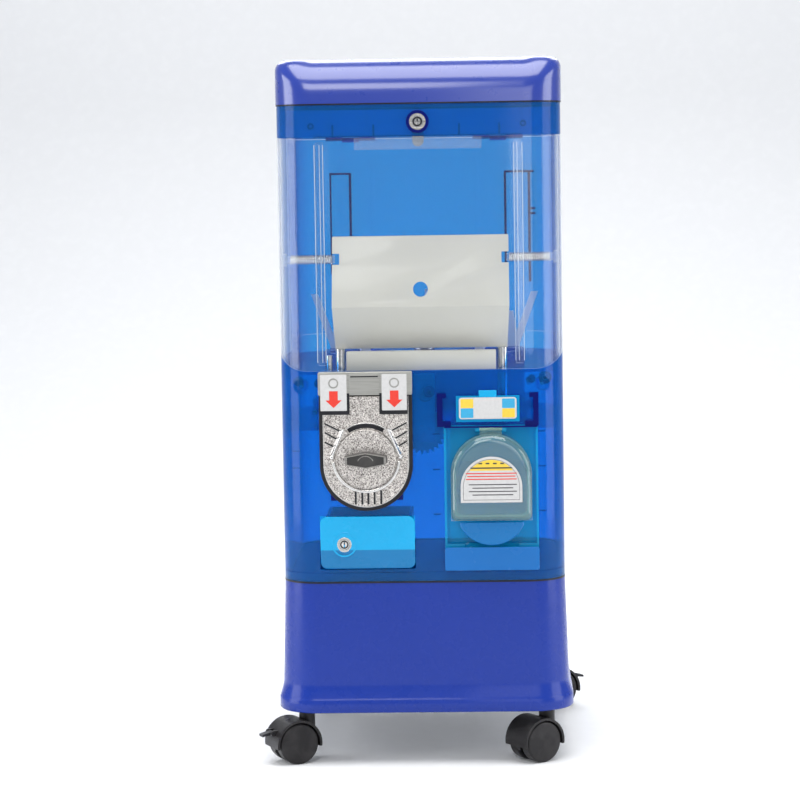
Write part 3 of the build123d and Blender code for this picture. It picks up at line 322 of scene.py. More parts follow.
@dataclass(frozen=True)
class PlatedMetal(Finish):
    """Plated or brushed metal, streaked along one axis."""

    colour: Colour = (0.72, 0.71, 0.69)
    roughness: float = 0.22
    streak: tuple[float, float, float] = (40.0, 900.0, 900.0)
    depth: float = 0.00002

    def make(self) -> bpy.types.Material:
        """Builds the finish's material."""
        bench = FinishBench(self.name)
        inputs = {"Vector": bench.stretched(self.streak), "Scale": 1.0, "Detail": 3.0}
        streaks = bench.add("ShaderNodeTexNoise", inputs).outputs["Fac"]
        low = tuple(c * 0.8 for c in self.colour)
        shader = bench.add(
            "ShaderNodeBsdfPrincipled",
            {
                "Base Color": bench.ramp(streaks, [(0.35, low), (0.6, self.colour)]),
                "Metallic": 1.0,
                "Roughness": bench.between(streaks, self.roughness * 0.8, self.roughness * 1.4),
                "Normal": bench.bump(streaks, self.depth),
            },
        )
        return bench.finish(shader)


@dataclass(frozen=True)
class MattePlastic(Finish):
    """Moulded plastic with a fine spark-eroded grain and paler worn spots."""

    colour: Colour = (0.02, 0.02, 0.021)
    worn: Colour = (0.05, 0.05, 0.052)
    roughness: float = 0.45
    grain: float = 0.00005

    def make(self) -> bpy.types.Material:
        """Builds the finish's material."""
        bench = FinishBench(self.name)
        wear = bench.noise(45.0, 5.0, 0.4)
        shader = bench.add(
            "ShaderNodeBsdfPrincipled",
            {
                "Base Color": bench.ramp(wear, [(0.45, self.colour), (0.75, self.worn)]),
                "Roughness": bench.between(wear, self.roughness * 0.8, self.roughness * 1.2),
                "Normal": bench.bump(bench.noise(1800.0, 3.0), self.grain),
                "Specular IOR Level": 0.25,
            },
        )
        return bench.finish(shader)


@dataclass(frozen=True)
class PrintedCard(Finish):
    """Ink on coated card: an even colour with a faint mottle."""

    colour: Colour = (0.8, 0.8, 0.78)
    roughness: float = 0.38

    def make(self) -> bpy.types.Material:
        """Builds the finish's material."""
        bench = FinishBench(self.name)
        mottle = bench.noise(350.0, 4.0)
        low = tuple(c * 0.93 for c in self.colour)
        shader = bench.add(
            "ShaderNodeBsdfPrincipled",
            {
                "Base Color": bench.ramp(mottle, [(0.35, low), (0.65, self.colour)]),
                "Roughness": bench.between(mottle, self.roughness * 0.9, self.roughness * 1.2),
                "Normal": bench.bump(mottle, 0.00001),
            },
        )
        return bench.finish(shader)


@dataclass(frozen=True)
class Finishes:
    """Every finish on the machine."""

    deep_blue: Finish = MouldedGloss("deep_blue_moulding", (0.009, 0.034, 0.28), 0.97, 0.26, coat=0.2)
    deck_blue: Finish = MouldedGloss("base_deck_blue", (0.006, 0.024, 0.15), 0.95, 0.6, 0.000001, 0.0)
    cap_blue: Finish = MouldedGloss(
        "cap_blue_moulding", (0.010, 0.034, 0.28), 0.97, 0.30, 0.000004, 1.0, 0.17, 1.7
    )
    sky_blue: Finish = MouldedGloss("sky_blue_moulding", (0.006, 0.36, 0.68), 0.96, 0.26)
    module_low: Finish = MouldedGloss("module_lower_blue", (0.003, 0.135, 0.44), 0.92, 0.22)
    # A darker copy of the sky blue for the drawer's lower face: painted shade.
    sky_blue_painted_shade: Finish = MouldedGloss("sky_blue_painted_shade_moulding", (0.003, 0.175, 0.42), 0.94, 0.26)
    cream: Finish = MouldedGloss("cream_moulding", (0.68, 0.665, 0.59), 0.97, 0.55)
    body_blue: Finish = SeeThrough(
        "see_through_blue", (0.10, 0.64, 0.97), (0.02, 0.16, 0.66), (0.004, 0.22, 0.62), 0.20
    )
    hopper_blue: Finish = SeeThrough(
        "see_through_hopper_blue", (0.10, 0.62, 0.96), (0.03, 0.30, 0.78), (0.006, 0.29, 0.72), 0.24
    )
    band_blue: Finish = SeeThrough(
        "lid_band_blue", (0.12, 0.52, 0.88), (0.03, 0.20, 0.62), (0.014, 0.19, 0.54), 0.28
    )
    exit_blue: Finish = SeeThrough(
        "see_through_exit_blue", (0.10, 0.74, 0.90), (0.03, 0.40, 0.82), (0.010, 0.44, 0.78), 0.50
    )
    module_scoop: Finish = MouldedGloss("module_scoop_blue", (0.004, 0.15, 0.42), 0.95, 0.28)
    ink_blue: Finish = SeeThrough(
        "ink_blue_moulding", (0.03, 0.06, 0.40), (0.01, 0.02, 0.25), (0.004, 0.010, 0.16), 0.7
    )
    clear: Finish = SeeThrough(
        "clear_acrylic", (0.988, 0.992, 0.995), (0.92, 0.95, 0.98), (0.90, 0.93, 0.98),
        0.012, 0.03, 0.90, 3.6, 0.035,
    )
    rail_clear: Finish = SeeThrough(
        "clear_rail", (0.95, 0.97, 0.99), (0.85, 0.92, 0.97), (0.84, 0.90, 0.97), 0.10, 0.05, 0.85, 2.0
    )
    dome: Finish = SeeThrough(
        "clear_dome", (0.84, 0.98, 0.90), (0.80, 0.90, 0.90), (0.24, 0.42, 0.41),
        0.20, 0.02, 0.75, 2.6, 0.06, 0.8, 3.0,
    )
    frosted: Finish = SeeThrough(
        "frosted_white", (0.85, 0.90, 0.95), (0.7, 0.78, 0.86), (0.86, 0.89, 0.93), 0.75, 0.35, 0.85
    )
    hammered: Finish = HammeredChrome("hammered_chrome")
    head_metal: Finish = PlatedMetal("satin_head", (0.40, 0.40, 0.375), 0.45, (30.0, 700.0, 1400.0))
    chrome: Finish = PlatedMetal("polished_chrome", (0.78, 0.77, 0.75), 0.13)
    rim_metal: Finish = PlatedMetal("polished_rim", (0.62, 0.60, 0.57), 0.20)
    steel: Finish = PlatedMetal("zinc_steel", (0.50, 0.51, 0.53), 0.36)
    black: Finish = MattePlastic("black_moulding", (0.010, 0.011, 0.014), (0.022, 0.022, 0.026), 0.35)
    grip: Finish = MattePlastic("grip_grey", (0.040, 0.039, 0.038), (0.075, 0.073, 0.070), 0.42)
    grip_edge: Finish = PlatedMetal("grip_edge_metal", (0.34, 0.33, 0.31), 0.30)
    nylon: Finish = MattePlastic("castor_nylon", (0.012, 0.011, 0.012), (0.034, 0.032, 0.033), 0.34)
    acetal: Finish = MattePlastic("white_acetal", (0.62, 0.62, 0.58), (0.70, 0.70, 0.66), 0.40)
    paper: Finish = PrintedCard("white_card", (0.58, 0.58, 0.575))
    red_ink: Finish = PrintedCard("red_ink", (0.72, 0.035, 0.02))
    black_ink: Finish = PrintedCard("black_ink", (0.035, 0.035, 0.04))
    yellow_ink: Finish = PrintedCard("yellow_ink", (0.80, 0.56, 0.05))
    blue_ink: Finish = PrintedCard("blue_ink", (0.03, 0.36, 0.62))
    studio_paper: Finish = MattePlastic(
        "studio_paper", (0.88, 0.89, 0.90), (0.90, 0.91, 0.92), 0.8, 0.00002
    )


FINISHES = Finishes()


# ---------------------------------------------------------------- outlines and solids
class Outline:
    """Flat outlines in the machine's front plane, as (x, z) points listed anticlockwise from the front."""

    @staticmethod
    def arc(centre: Point, radius: float, start: float, end: float, steps: int) -> list[Point]:
        """Points along an arc.

        Args:
            centre: The arc's centre.
            radius: Its radius.
            start: The first point's angle, in degrees.
            end: The last point's angle, in degrees.
            steps: How many runs it has.

        Returns:
            The points.
        """
        angles = [math.radians(start + (end - start) * k / steps) for k in range(steps + 1)]
        return [(centre[0] + radius * math.cos(a), centre[1] + radius * math.sin(a)) for a in angles]

    @staticmethod
    def rounded(low: Point, high: Point, radius: float, steps: int = 6) -> list[Point]:
        """A rectangle with round corners.

        Args:
            low: Its lower left corner.
            high: Its upper right corner.
            radius: The corners' radius.
            steps: How many runs a corner has.

        Returns:
            The points.
        """
        points: list[Point] = []
        corners = [
            ((high[0] - radius, low[1] + radius), -90.0),
            ((high[0] - radius, high[1] - radius), 0.0),
            ((low[0] + radius, high[1] - radius), 90.0),
            ((low[0] + radius, low[1] + radius), 180.0),
        ]
        for centre, start in corners:
            points += Outline.arc(centre, radius, start, start + 90.0, steps)
        return points

    @staticmethod
    def shield(centre: Point, half: float, top: float, steps: int = 48) -> list[Point]:
        """A shape flat on top and round below.

        Args:
            centre: The centre of the round part.
            half: Its half width.
            top: The height of the flat top.
            steps: How many runs the round part has.

        Returns:
            The points.
        """
        flat = [(centre[0] + half, top), (centre[0] - half, top)]
        return Outline.arc(centre, half, 180.0, 360.0, steps) + flat

    @staticmethod
    def sector(
        centre: Point, outer: float, inner: float, start: float, stop: float, steps: int
    ) -> list[Point]:
        """A part of a ring, out along its outer arc and back along its inner one."""
        back = Outline.arc(centre, inner, start, stop, steps)[::-1]
        return Outline.arc(centre, outer, start, stop, steps) + back

    @staticmethod
    def hexagon(centre: Point, half: float, tall: float) -> list[Point]:
        """A long hexagon with short upright ends and a point at the middle of its top and bottom."""
        x, z = centre
        return [
            (x - half, z - tall / 2), (x, z - tall), (x + half, z - tall / 2),
            (x + half, z + tall / 2), (x, z + tall), (x - half, z + tall / 2),
        ]

    @staticmethod
    def scaled(outline: list[Point], centre: Point, share: float) -> list[Point]:
        """The outline made larger or smaller about a centre."""
        cx, cz = centre
        return [(cx + (x - cx) * share, cz + (z - cz) * share) for x, z in outline]


class Solid:
    """A closed mesh under construction, built from slabs that lie across the Y axis."""

    def __init__(self) -> None:
        """Starts an empty mesh."""
        self.mesh = bmesh.new()

    def loop(self, outline: list[Point], y: float) -> list[Vert]:
        """Adds an outline's points at a depth."""
        return [self.mesh.verts.new((x, y, z)) for x, z in outline]

    def wall(self, first: list[Vert], second: list[Vert]) -> None:
        """Joins two loops with the same number of points."""
        count = len(first)
        for k in range(count):
            n = (k + 1) % count
            self.mesh.faces.new((first[k], first[n], second[n], second[k]))

    def slab(
        self, outline: list[Point], back: float, front: float, share: float = 1.0,
        centre: Point = (0.0, 0.0),
    ) -> "Solid":
        """Adds a slab.

        Args:
            outline: Its outline.
            back: The depth of its back face.
            front: The depth of its front face.
            share: The front face's size next to the back's.
            centre: What the front face shrinks towards.

        Returns:
            The solid itself.
        """
        rear = self.loop(outline, back)
        face = self.loop(Outline.scaled(outline, centre, share), front)
        self.wall(rear, face)
        self.mesh.faces.new(rear)
        self.mesh.faces.new(list(reversed(face)))
        return self

    def band(self, outer: list[Point], inner: list[Point], back: float, front: float) -> "Solid":
        """Adds a frame between two outlines.

        Args:
            outer: The outside.
            inner: The inside, with as many points.
            back: The depth of its back face.
            front: The depth of its front face.

        Returns:
            The solid itself.
        """
        corners = ((outer, back), (outer, front), (inner, front), (inner, back))
        loops = [self.loop(outline, depth) for outline, depth in corners]
        for first, second in zip(loops, loops[1:] + loops[:1]):
            self.wall(first, second)
        return self

    def dome(self, centre: Point, radius: float, back: float, rise: float, steps: int = 24) -> "Solid":
        """Adds a low round boss.

        Args:
            centre: Where it stands.
            radius: Its radius.
            back: The depth that it stands on.
            rise: How far it stands out.
            steps: How many sides it has.

        Returns:
            The solid itself.
        """
        rear = self.loop(Outline.arc(centre, radius, 0.0, 360.0, steps)[:-1], back)
        self.mesh.faces.new(rear)
        rings = 5
        for ring in range(1, rings):
            angle = math.radians(90.0 * ring / rings)
            circle = Outline.arc(centre, radius * math.cos(angle), 0.0, 360.0, steps)[:-1]
            front = self.loop(circle, back - rise * math.sin(angle))
            self.wall(rear, front)
            rear = front
        self.mesh.faces.new(list(reversed(rear)))
        return self

    def lay_flat(self) -> "Solid":
        """Turns outlines drawn in the front plane down into the floor's plane."""
        for vert in self.mesh.verts:
            vert.co.yz = vert.co.zy
        return self

    def piece(self, name: str, finish: Finish) -> bpy.types.Object:
        """Turns the mesh into a piece.

        Args:
            name: The piece's name.
            finish: Its finish.

        Returns:
            The piece.
        """
        bmesh.ops.recalc_face_normals(self.mesh, faces=self.mesh.faces)
        data = bpy.data.meshes.new(name)
        self.mesh.to_mesh(data)
        self.mesh.free()
        data.materials.append(finish.material())
        piece = bpy.data.objects.new(name, data)
        bpy.context.scene.collection.objects.link(piece)
        return piece


# ---------------------------------------------------------------- geometry node patterns
class Pattern(NodeBench):
    """A Geometry Nodes tree that repeats a shape over a set of points."""

    def __init__(self, name: str, sizes: list[str]) -> None:
        """Starts the tree.

        Args:
            name: The tree's name.
            sizes: The names of its size inputs.
        """
        self.tree = bpy.data.node_groups.new(name, "GeometryNodeTree")
        sockets = self.tree.interface
        sockets.new_socket(name="Places", in_out="INPUT", socket_type="NodeSocketGeometry")
        self.identifiers: dict[str, str] = {}
        for size in sizes:
            socket = sockets.new_socket(name=size, in_out="INPUT", socket_type="NodeSocketFloat")
            self.identifiers[size] = socket.identifier
        sockets.new_socket(name="Pieces", in_out="OUTPUT", socket_type="NodeSocketGeometry")
        self.source = self.tree.nodes.new("NodeGroupInput")
        self.result = self.tree.nodes.new("NodeGroupOutput")

    def attribute(self, name: str) -> Socket:
        """Reads a number stored on each point."""
        node = self.add("GeometryNodeInputNamedAttribute", {"Name": name}, data_type="FLOAT")
        return node.outputs["Attribute"]

    def share(self, value: Socket, factor: float) -> Socket:
        """Gives a size's multiple."""
        return self.add("ShaderNodeMath", {0: value, 1: factor}, operation="MULTIPLY").outputs[0]

    def close(self, geometry: Socket, finish: Finish) -> None:
        """Ends the tree: instances made real, then given their finish."""
        real = self.add("GeometryNodeRealizeInstances", {"Geometry": geometry})
        inputs = {"Geometry": real.outputs["Geometry"], "Material": finish.material()}
        dressed = self.add("GeometryNodeSetMaterial", inputs)
        self.tree.links.new(dressed.outputs["Geometry"], self.result.inputs["Pieces"])

    def cast(self, name: str, places: bpy.types.Mesh, sizes: dict[str, float]) -> bpy.types.Object:
        """Runs the tree once and keeps its result as a plain mesh.

        Args:
            name: The piece's name.
            places: The mesh that the shape is repeated over.
            sizes: A value for each size input.

        Returns:
            The piece.
        """
        host = bpy.data.objects.new(f"{name}_places", places)
        bpy.context.scene.collection.objects.link(host)
        modifier = host.modifiers.new("pattern", "NODES")
        modifier.node_group = self.tree
        for size, value in sizes.items():
            modifier[self.identifiers[size]] = value
        bpy.context.view_layer.update()
        graph = bpy.context.evaluated_depsgraph_get()
        mesh = bpy.data.meshes.new_from_object(host.evaluated_get(graph))
        host.modifiers.remove(modifier)
        bpy.data.objects.remove(host)
        mesh.name = name
        piece = bpy.data.objects.new(name, mesh)
        bpy.context.scene.collection.objects.link(piece)
        return piece


@dataclass(frozen=True)
class Bar:
    """One bar of a pattern: its middle, length, width and turn in the front plane."""

    x: float
    z: float
    length: float
    width: float
    turn: float = 0.0


class BarPattern(Pattern):
    """Bars across the front plane: grooves, ribs and printed rules."""

    def __init__(self, name: str, finish: Finish) -> None:
        """Builds the tree.

        Args:
            name: The tree's name.
            finish: The bars' finish.
        """
        super().__init__(name, ["Depth"])
        cube = self.add("GeometryNodeMeshCube", {"Size": (1.0, 1.0, 1.0)})
        inputs = {0: self.attribute("width"), 1: self.source.outputs["Depth"], 2: self.attribute("length")}
        scale = self.add("ShaderNodeCombineXYZ", inputs)
        turn = self.add("ShaderNodeCombineXYZ", {1: self.attribute("turn")})
        inputs = {
            "Points": self.source.outputs["Places"],
            "Instance": cube.outputs["Mesh"],
            "Rotation": turn.outputs[0],
            "Scale": scale.outputs[0],
        }
        bars = self.add("GeometryNodeInstanceOnPoints", inputs)
        self.close(bars.outputs["Instances"], finish)

    def lay(self, name: str, bars: list[Bar], y: float, depth: float) -> bpy.types.Object:
        """Lays the bars.

        Args:
            name: The piece's name.
            bars: The bars, in millimetres and degrees.
            y: The depth of their middle.
            depth: Their thickness.

        Returns:
            The piece.
        """
        places = bpy.data.meshes.new(f"{name}_points")
        places.from_pydata([(bar.x * MM, y, bar.z * MM) for bar in bars], [], [])
        columns = {
            "length": [bar.length * MM for bar in bars],
            "width": [bar.width * MM for bar in bars],
            "turn": [math.radians(bar.turn) for bar in bars],
        }
        for label, values in columns.items():
            places.attributes.new(label, "FLOAT", "POINT").data.foreach_set("value", values)
        return self.cast(name, places, {"Depth": depth})


class ScrewPattern(Pattern):
    """Pan-head screws with a cross recess, facing the front."""

    def __init__(self, name: str, finish: Finish) -> None:
        """Builds the tree.

        Args:
            name: The tree's name.
            finish: The screws' finish.
        """
        super().__init__(name, ["Head Radius", "Head Height"])
        radius = self.source.outputs["Head Radius"]
        height = self.source.outputs["Head Height"]
        shoulder = self.share(radius, 0.86)
        skirt = {"Vertices": 32, "Radius Top": shoulder, "Radius Bottom": radius}
        base = self.add("GeometryNodeMeshCone", {**skirt, "Depth": self.share(height, 0.6)})
        dome = {"Vertices": 32, "Radius Top": self.share(radius, 0.45), "Radius Bottom": shoulder}
        crown = self.add("GeometryNodeMeshCone", {**dome, "Depth": self.share(height, 0.3)})
        lift = self.add("ShaderNodeCombineXYZ", {2: self.share(height, 0.6)})
        join = self.add("GeometryNodeJoinGeometry")
        self.tree.links.new(base.outputs["Mesh"], join.inputs[0])
        self.tree.links.new(self.moved(crown, lift), join.inputs[0])
        long_arm = self.share(radius, 0.95)
        thin_arm = self.share(radius, 0.2)
        top = self.add("ShaderNodeCombineXYZ", {2: self.share(height, 0.88)})
        for first, second in ((long_arm, thin_arm), (thin_arm, long_arm)):
            size = self.add("ShaderNodeCombineXYZ", {0: first, 1: second, 2: self.share(height, 0.08)})
            arm = self.add("GeometryNodeMeshCube", {"Size": size.outputs[0]})
            self.tree.links.new(self.moved(arm, top), join.inputs[0])
        inputs = {
            "Points": self.source.outputs["Places"],
            "Instance": join.outputs["Geometry"],
            "Rotation": (math.radians(90.0), 0.0, 0.0),
        }
        screws = self.add("GeometryNodeInstanceOnPoints", inputs)
        self.close(screws.outputs["Instances"], finish)

    def moved(self, shape: bpy.types.Node, way: bpy.types.Node) -> Socket:
        """Gives a mesh node's shape, moved by a vector node's result."""
        inputs = {"Geometry": shape.outputs["Mesh"], "Translation": way.outputs[0]}
        return self.add("GeometryNodeTransform", inputs).outputs["Geometry"]

    def drive(self, name: str, places: list[Vector], radius: float, height: float) -> bpy.types.Object:
        """Sets a screw at each place.

        Args:
            name: The piece's name.
            places: The middle of each head's underside.
            radius: A head's radius.
            height: A head's height.

        Returns:
            The piece.
        """
        points = bpy.data.meshes.new(f"{name}_points")
        points.from_pydata([tuple(place) for place in places], [], [])
        return self.cast(name, points, {"Head Radius": radius, "Head Height": height})


class CoilPattern(Pattern):
    """Close-wound springs that run across the machine."""

    def __init__(self, name: str, finish: Finish, turns: float) -> None:
        """Builds the tree.

        Args:
            name: The tree's name.
            finish: The springs' finish.
            turns: How many turns each has.
        """
        super().__init__(name, ["Coil Radius", "Wire Radius", "Length"])
        radius = self.source.outputs["Coil Radius"]
        inputs = {
            "Resolution": 14, "Rotations": turns, "Start Radius": radius, "End Radius": radius,
            "Height": self.source.outputs["Length"],
        }
        line = self.add("GeometryNodeCurveSpiral", inputs)
        inputs = {"Resolution": 8, "Radius": self.source.outputs["Wire Radius"]}
        wire = self.add("GeometryNodeCurvePrimitiveCircle", inputs)
        inputs = {"Curve": line.outputs["Curve"], "Profile Curve": wire.outputs["Curve"], "Fill Caps": True}
        coil = self.add("GeometryNodeCurveToMesh", inputs)
        smooth = self.add("GeometryNodeSetShadeSmooth", {"Geometry": coil.outputs["Mesh"]})
        inputs = {
            "Points": self.source.outputs["Places"],
            "Instance": smooth.outputs["Geometry"],
            "Rotation": (0.0, math.radians(90.0), 0.0),
        }
        springs = self.add("GeometryNodeInstanceOnPoints", inputs)
        self.close(springs.outputs["Instances"], finish)

    def wind(
        self, name: str, starts: list[Vector], coil: float, wire: float, length: float
    ) -> bpy.types.Object:
        """Winds a spring from each start.

        Args:
            name: The piece's name.
            starts: The left end of each spring.
            coil: The radius of the coil's centre line.
            wire: The wire's radius.
            length: A spring's length.

        Returns:
            The piece.
        """
        points = bpy.data.meshes.new(f"{name}_points")
        points.from_pydata([tuple(start) for start in starts], [], [])
        return self.cast(name, points, {"Coil Radius": coil, "Wire Radius": wire, "Length": length})


# ---------------------------------------------------------------- sub-assemblies
@dataclass
class SubAssembly(ABC):
    """Part of the machine, built and dressed as one."""

    body: Body = Body.CABINET

    @abstractmethod
    def build(self) -> None:
        """Makes the sub-assembly's pieces."""

    def dress(self, finish: Finish, *nodes: str) -> None:
        """Lays a finish on nodes whose shape is right.

        Args:
            finish: The finish.
            *nodes: The nodes' names.
        """
        for node in nodes:
            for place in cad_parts[node].material_slots:
                place.material = finish.material()
            log.info("dressed %s in %s", node, finish.name)

    def soften(self, piece: bpy.types.Object, edge: float, limit: float = 35.0, segments: int = 2) -> None:
        """Breaks a piece's sharp edges and shades the rest smooth.

        Args:
            piece: The piece.
            edge: How wide the broken edge is.
            limit: The angle over which an edge counts as sharp, in degrees.
            segments: How many faces a broken edge has.
        """
        piece.data.shade_smooth()
        bevel = piece.modifiers.new("broken_edges", "BEVEL")
        bevel.width = edge
        bevel.segments = segments
        bevel.limit_method = "ANGLE"
        bevel.angle_limit = math.radians(limit)
        bevel.harden_normals = True

    def fit(self, piece: bpy.types.Object, slot: str, *replaced: str, body: Body | None = None) -> None:
        """Hangs a finished piece on its body.

        Args:
            piece: The piece.
            slot: The record's material slot; not used.
            *replaced: The nodes that it stands for.
            body: The body it rides on, if not the sub-assembly's own.
        """
        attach(piece, (body or self.body).value)
        if replaced:
            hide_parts(*replaced)
        log.info("built %s", piece.name)

    def make(
        self, solid: "Solid", name: str, finish: Finish, slot: str, *replaced: str,
        edge: float, limit: float = 35.0, segments: int = 2, body: Body | None = None,
    ) -> None:
        """Turns a solid into a piece with broken edges and hangs it on its body.

        Args:
            solid: The solid.
            name: The piece's name.
            finish: Its finish.
            slot: The record's material slot; not used.
            *replaced: The nodes that it stands for.
            edge: How wide its broken edges are.
            limit: The angle over which an edge counts as sharp, in degrees.
            segments: How many faces a broken edge has.
            body: The body it rides on, if not the sub-assembly's own.
        """
        piece = solid.piece(name, finish)
        self.soften(piece, edge, limit, segments)
        self.fit(piece, slot, *replaced, body=body)

    def bars(
        self, name: str, bars: list[Bar], finish: Finish, slot: str, y: float, depth: float,
        body: Body | None = None,
    ) -> None:
        """Lays bars in one piece.

        Args:
            name: The piece's name.
            bars: The bars.
            finish: Their finish.
            slot: The record's material slot; not used.
            y: The depth of their middle.
            depth: Their thickness.
            body: The body they ride on, if not the sub-assembly's own.
        """
        pattern = BarPattern(f"{name}_pattern", finish)
        self.fit(pattern.lay(name, bars, y, depth), slot, body=body)

    def seam(self, name: str, node: str, corner: float, shares: Point, heights: Point) -> None:
        """Makes a dark line round the foot of a node.

        Args:
            name: The piece's name.
            node: The node.
            corner: The radius of its plan's corners.
            shares: The line's outer and inner size next to the node's plan.
            heights: Its lower and upper edge, from the node's foot.
        """
        low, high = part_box(node)
        plan = Outline.rounded((low.x, low.y), (high.x, high.y), corner, 14)
        centre = ((low.x + high.x) / 2, (low.y + high.y) / 2)
        outer, inner = (Outline.scaled(plan, centre, share) for share in shares)
        line = Solid().band(outer, inner, low.z + heights[0], low.z + heights[1]).lay_flat()
        self.fit(line.piece(name, FINISHES.black), "black")

    def moulding(self, name: str, node: str, finish: Finish, slot: str, edge: float) -> None:
        """Makes a node again as one merged skin with broken edges.

        Args:
            name: The piece's name.
            node: The node.
            finish: Its finish.
            slot: The record's material slot; not used.
            edge: How wide its broken edges are.
        """
        mesh = bmesh.new()
        mesh.from_mesh(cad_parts[node].data)
        bmesh.ops.remove_doubles(mesh, verts=mesh.verts, dist=0.000002)
        bmesh.ops.dissolve_limit(mesh, angle_limit=math.radians(0.4), verts=mesh.verts, edges=mesh.edges)
        data = bpy.data.meshes.new(name)
        mesh.to_mesh(data)
        mesh.free()
        data.materials.append(finish.material())
        piece = bpy.data.objects.new(name, data)
        bpy.context.scene.collection.objects.link(piece)
        self.soften(piece, edge)
        self.fit(piece, slot, node)


@dataclass
class Studio(SubAssembly):
    """The floor, the lights and the camera."""

    floor_half: float = 4.5
    wall_distance: float = 3.2
    wall_height: float = 4.5
    cove_radius: float = 1.2
    camera_distance: float = 3.16
    camera_height: float = 0.677
    camera_side_deg: float = 1.25
    camera_pan_deg: float = 1.77
    camera_pitch_deg: float = 5.1
    camera_roll_deg: float = -0.9
    lens_mm: float = 122.7

    def build(self) -> None:
        """Makes the studio."""
        self.lay_floor()
        self.light()
        self.aim()

    def lay_floor(self) -> None:
        """Makes the floor, which curves up into the back wall."""
        profile = [(-self.floor_half, 0.0)]
        bend = (self.wall_distance - self.cove_radius, self.cove_radius)
        for step in range(13):
            angle = math.radians(-90.0 + 90.0 * step / 12)
            reach, rise = self.cove_radius * math.cos(angle), self.cove_radius * math.sin(angle)
            profile.append((bend[0] + reach, bend[1] + rise))
        profile.append((self.wall_distance, self.wall_height))
        vertices = [(side * self.floor_half, y, z) for y, z in profile for side in (-1.0, 1.0)]
        faces = [(2 * k, 2 * k + 1, 2 * k + 3, 2 * k + 2) for k in range(len(profile) - 1)]
        data = bpy.data.meshes.new("studio_floor")
        data.from_pydata(vertices, [], faces)
        data.shade_smooth()
        data.materials.append(FINISHES.studio_paper.material())
        floor = bpy.data.objects.new("studio_floor", data)
        bpy.context.scene.collection.objects.link(floor)

    def lamp(
        self, name: str, place: Point3, target: Point3, size: Point, power: float, colour: Colour
    ) -> None:
        """Hangs one soft light.

        Args:
            name: Its name.
            place: Where it hangs.
            target: What it points at.
            size: Its width and height.
            power: Its power, in watts.
            colour: Its colour.
        """
        light = bpy.data.lights.new(name, "AREA")
        light.shape = "RECTANGLE"
        light.size, light.size_y = size
        light.energy = power
        light.color = colour
        holder = bpy.data.objects.new(name, light)
        bpy.context.scene.collection.objects.link(holder)
        way = Vector(target) - Vector(place)
        holder.matrix_world = Matrix.Translation(place) @ way.to_track_quat("-Z", "Y").to_matrix().to_4x4()

    def light(self) -> None:
        """Sets the pale surroundings and the soft lights."""
        world = bpy.data.worlds.new("studio_air")
        world.use_nodes = True
        background = world.node_tree.nodes["Background"]
        background.inputs["Color"].default_value = (0.90, 0.93, 1.0, 1.0)
        background.inputs["Strength"].default_value = 0.36
        bpy.context.scene.world = world
        self.lamp("top_light", (0.0, -0.5, 2.6), (0.0, 0.0, 0.6), (2.2, 1.8), 58.0, (1.0, 0.99, 0.98))
        self.lamp("key_light", (-0.6, -2.9, 2.3), (0.0, 0.0, 0.45), (1.4, 1.0), 23.0, (1.0, 0.985, 0.96))
        self.lamp("front_fill", (0.9, -3.4, 1.0), (0.0, 0.0, 0.45), (1.6, 1.6), 14.0, (1.0, 0.99, 0.98))
        self.lamp("left_panel", (-2.0, -0.5, 0.8), (0.0, 0.0, 0.50), (1.1, 1.7), 24.0, (0.97, 0.98, 1.0))
        self.lamp("right_panel", (2.0, -0.5, 0.8), (0.0, 0.0, 0.50), (1.1, 1.7), 20.0, (0.97, 0.98, 1.0))
        self.lamp("back_glow", (0.0, 1.7, 2.0), (0.0, 0.3, 0.3), (2.4, 1.2), 34.0, (0.97, 0.98, 1.0))
        bpy.context.scene.view_settings.view_transform = "Standard"
        bpy.context.scene.cycles.transparent_max_bounces = 32

    def aim(self) -> None:
        """Sets the camera up."""
        data = bpy.data.cameras.new("studio_camera")
        data.lens = self.lens_mm
        data.sensor_width = 36.0
        data.clip_start = 0.05
        data.clip_end = 50.0
        camera = bpy.data.objects.new("studio_camera", data)
        bpy.context.scene.collection.objects.link(camera)
        side = math.radians(self.camera_side_deg)
        far = self.camera_distance
        place = (far * math.sin(side), -far * math.cos(side), self.camera_height)
        pan = Matrix.Rotation(math.radians(self.camera_pan_deg), 4, "Z")
        tilt = Matrix.Rotation(math.radians(90.0 - self.camera_pitch_deg), 4, "X")
        roll = Matrix.Rotation(math.radians(self.camera_roll_deg), 4, "Z")
        camera.matrix_world = Matrix.Translation(place) @ pan @ tilt @ roll
        bpy.context.scene.camera = camera


@dataclass
class Castors(SubAssembly):
    """The castors and their brake levers."""

    def build(self) -> None:
        """Dresses the castors."""
        for node in [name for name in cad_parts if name.startswith("castor_")]:
            self.dress(FINISHES.nylon, node)
        for node in [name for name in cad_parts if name.startswith("brake_lever_")]:
            self.dress(FINISHES.black, node)


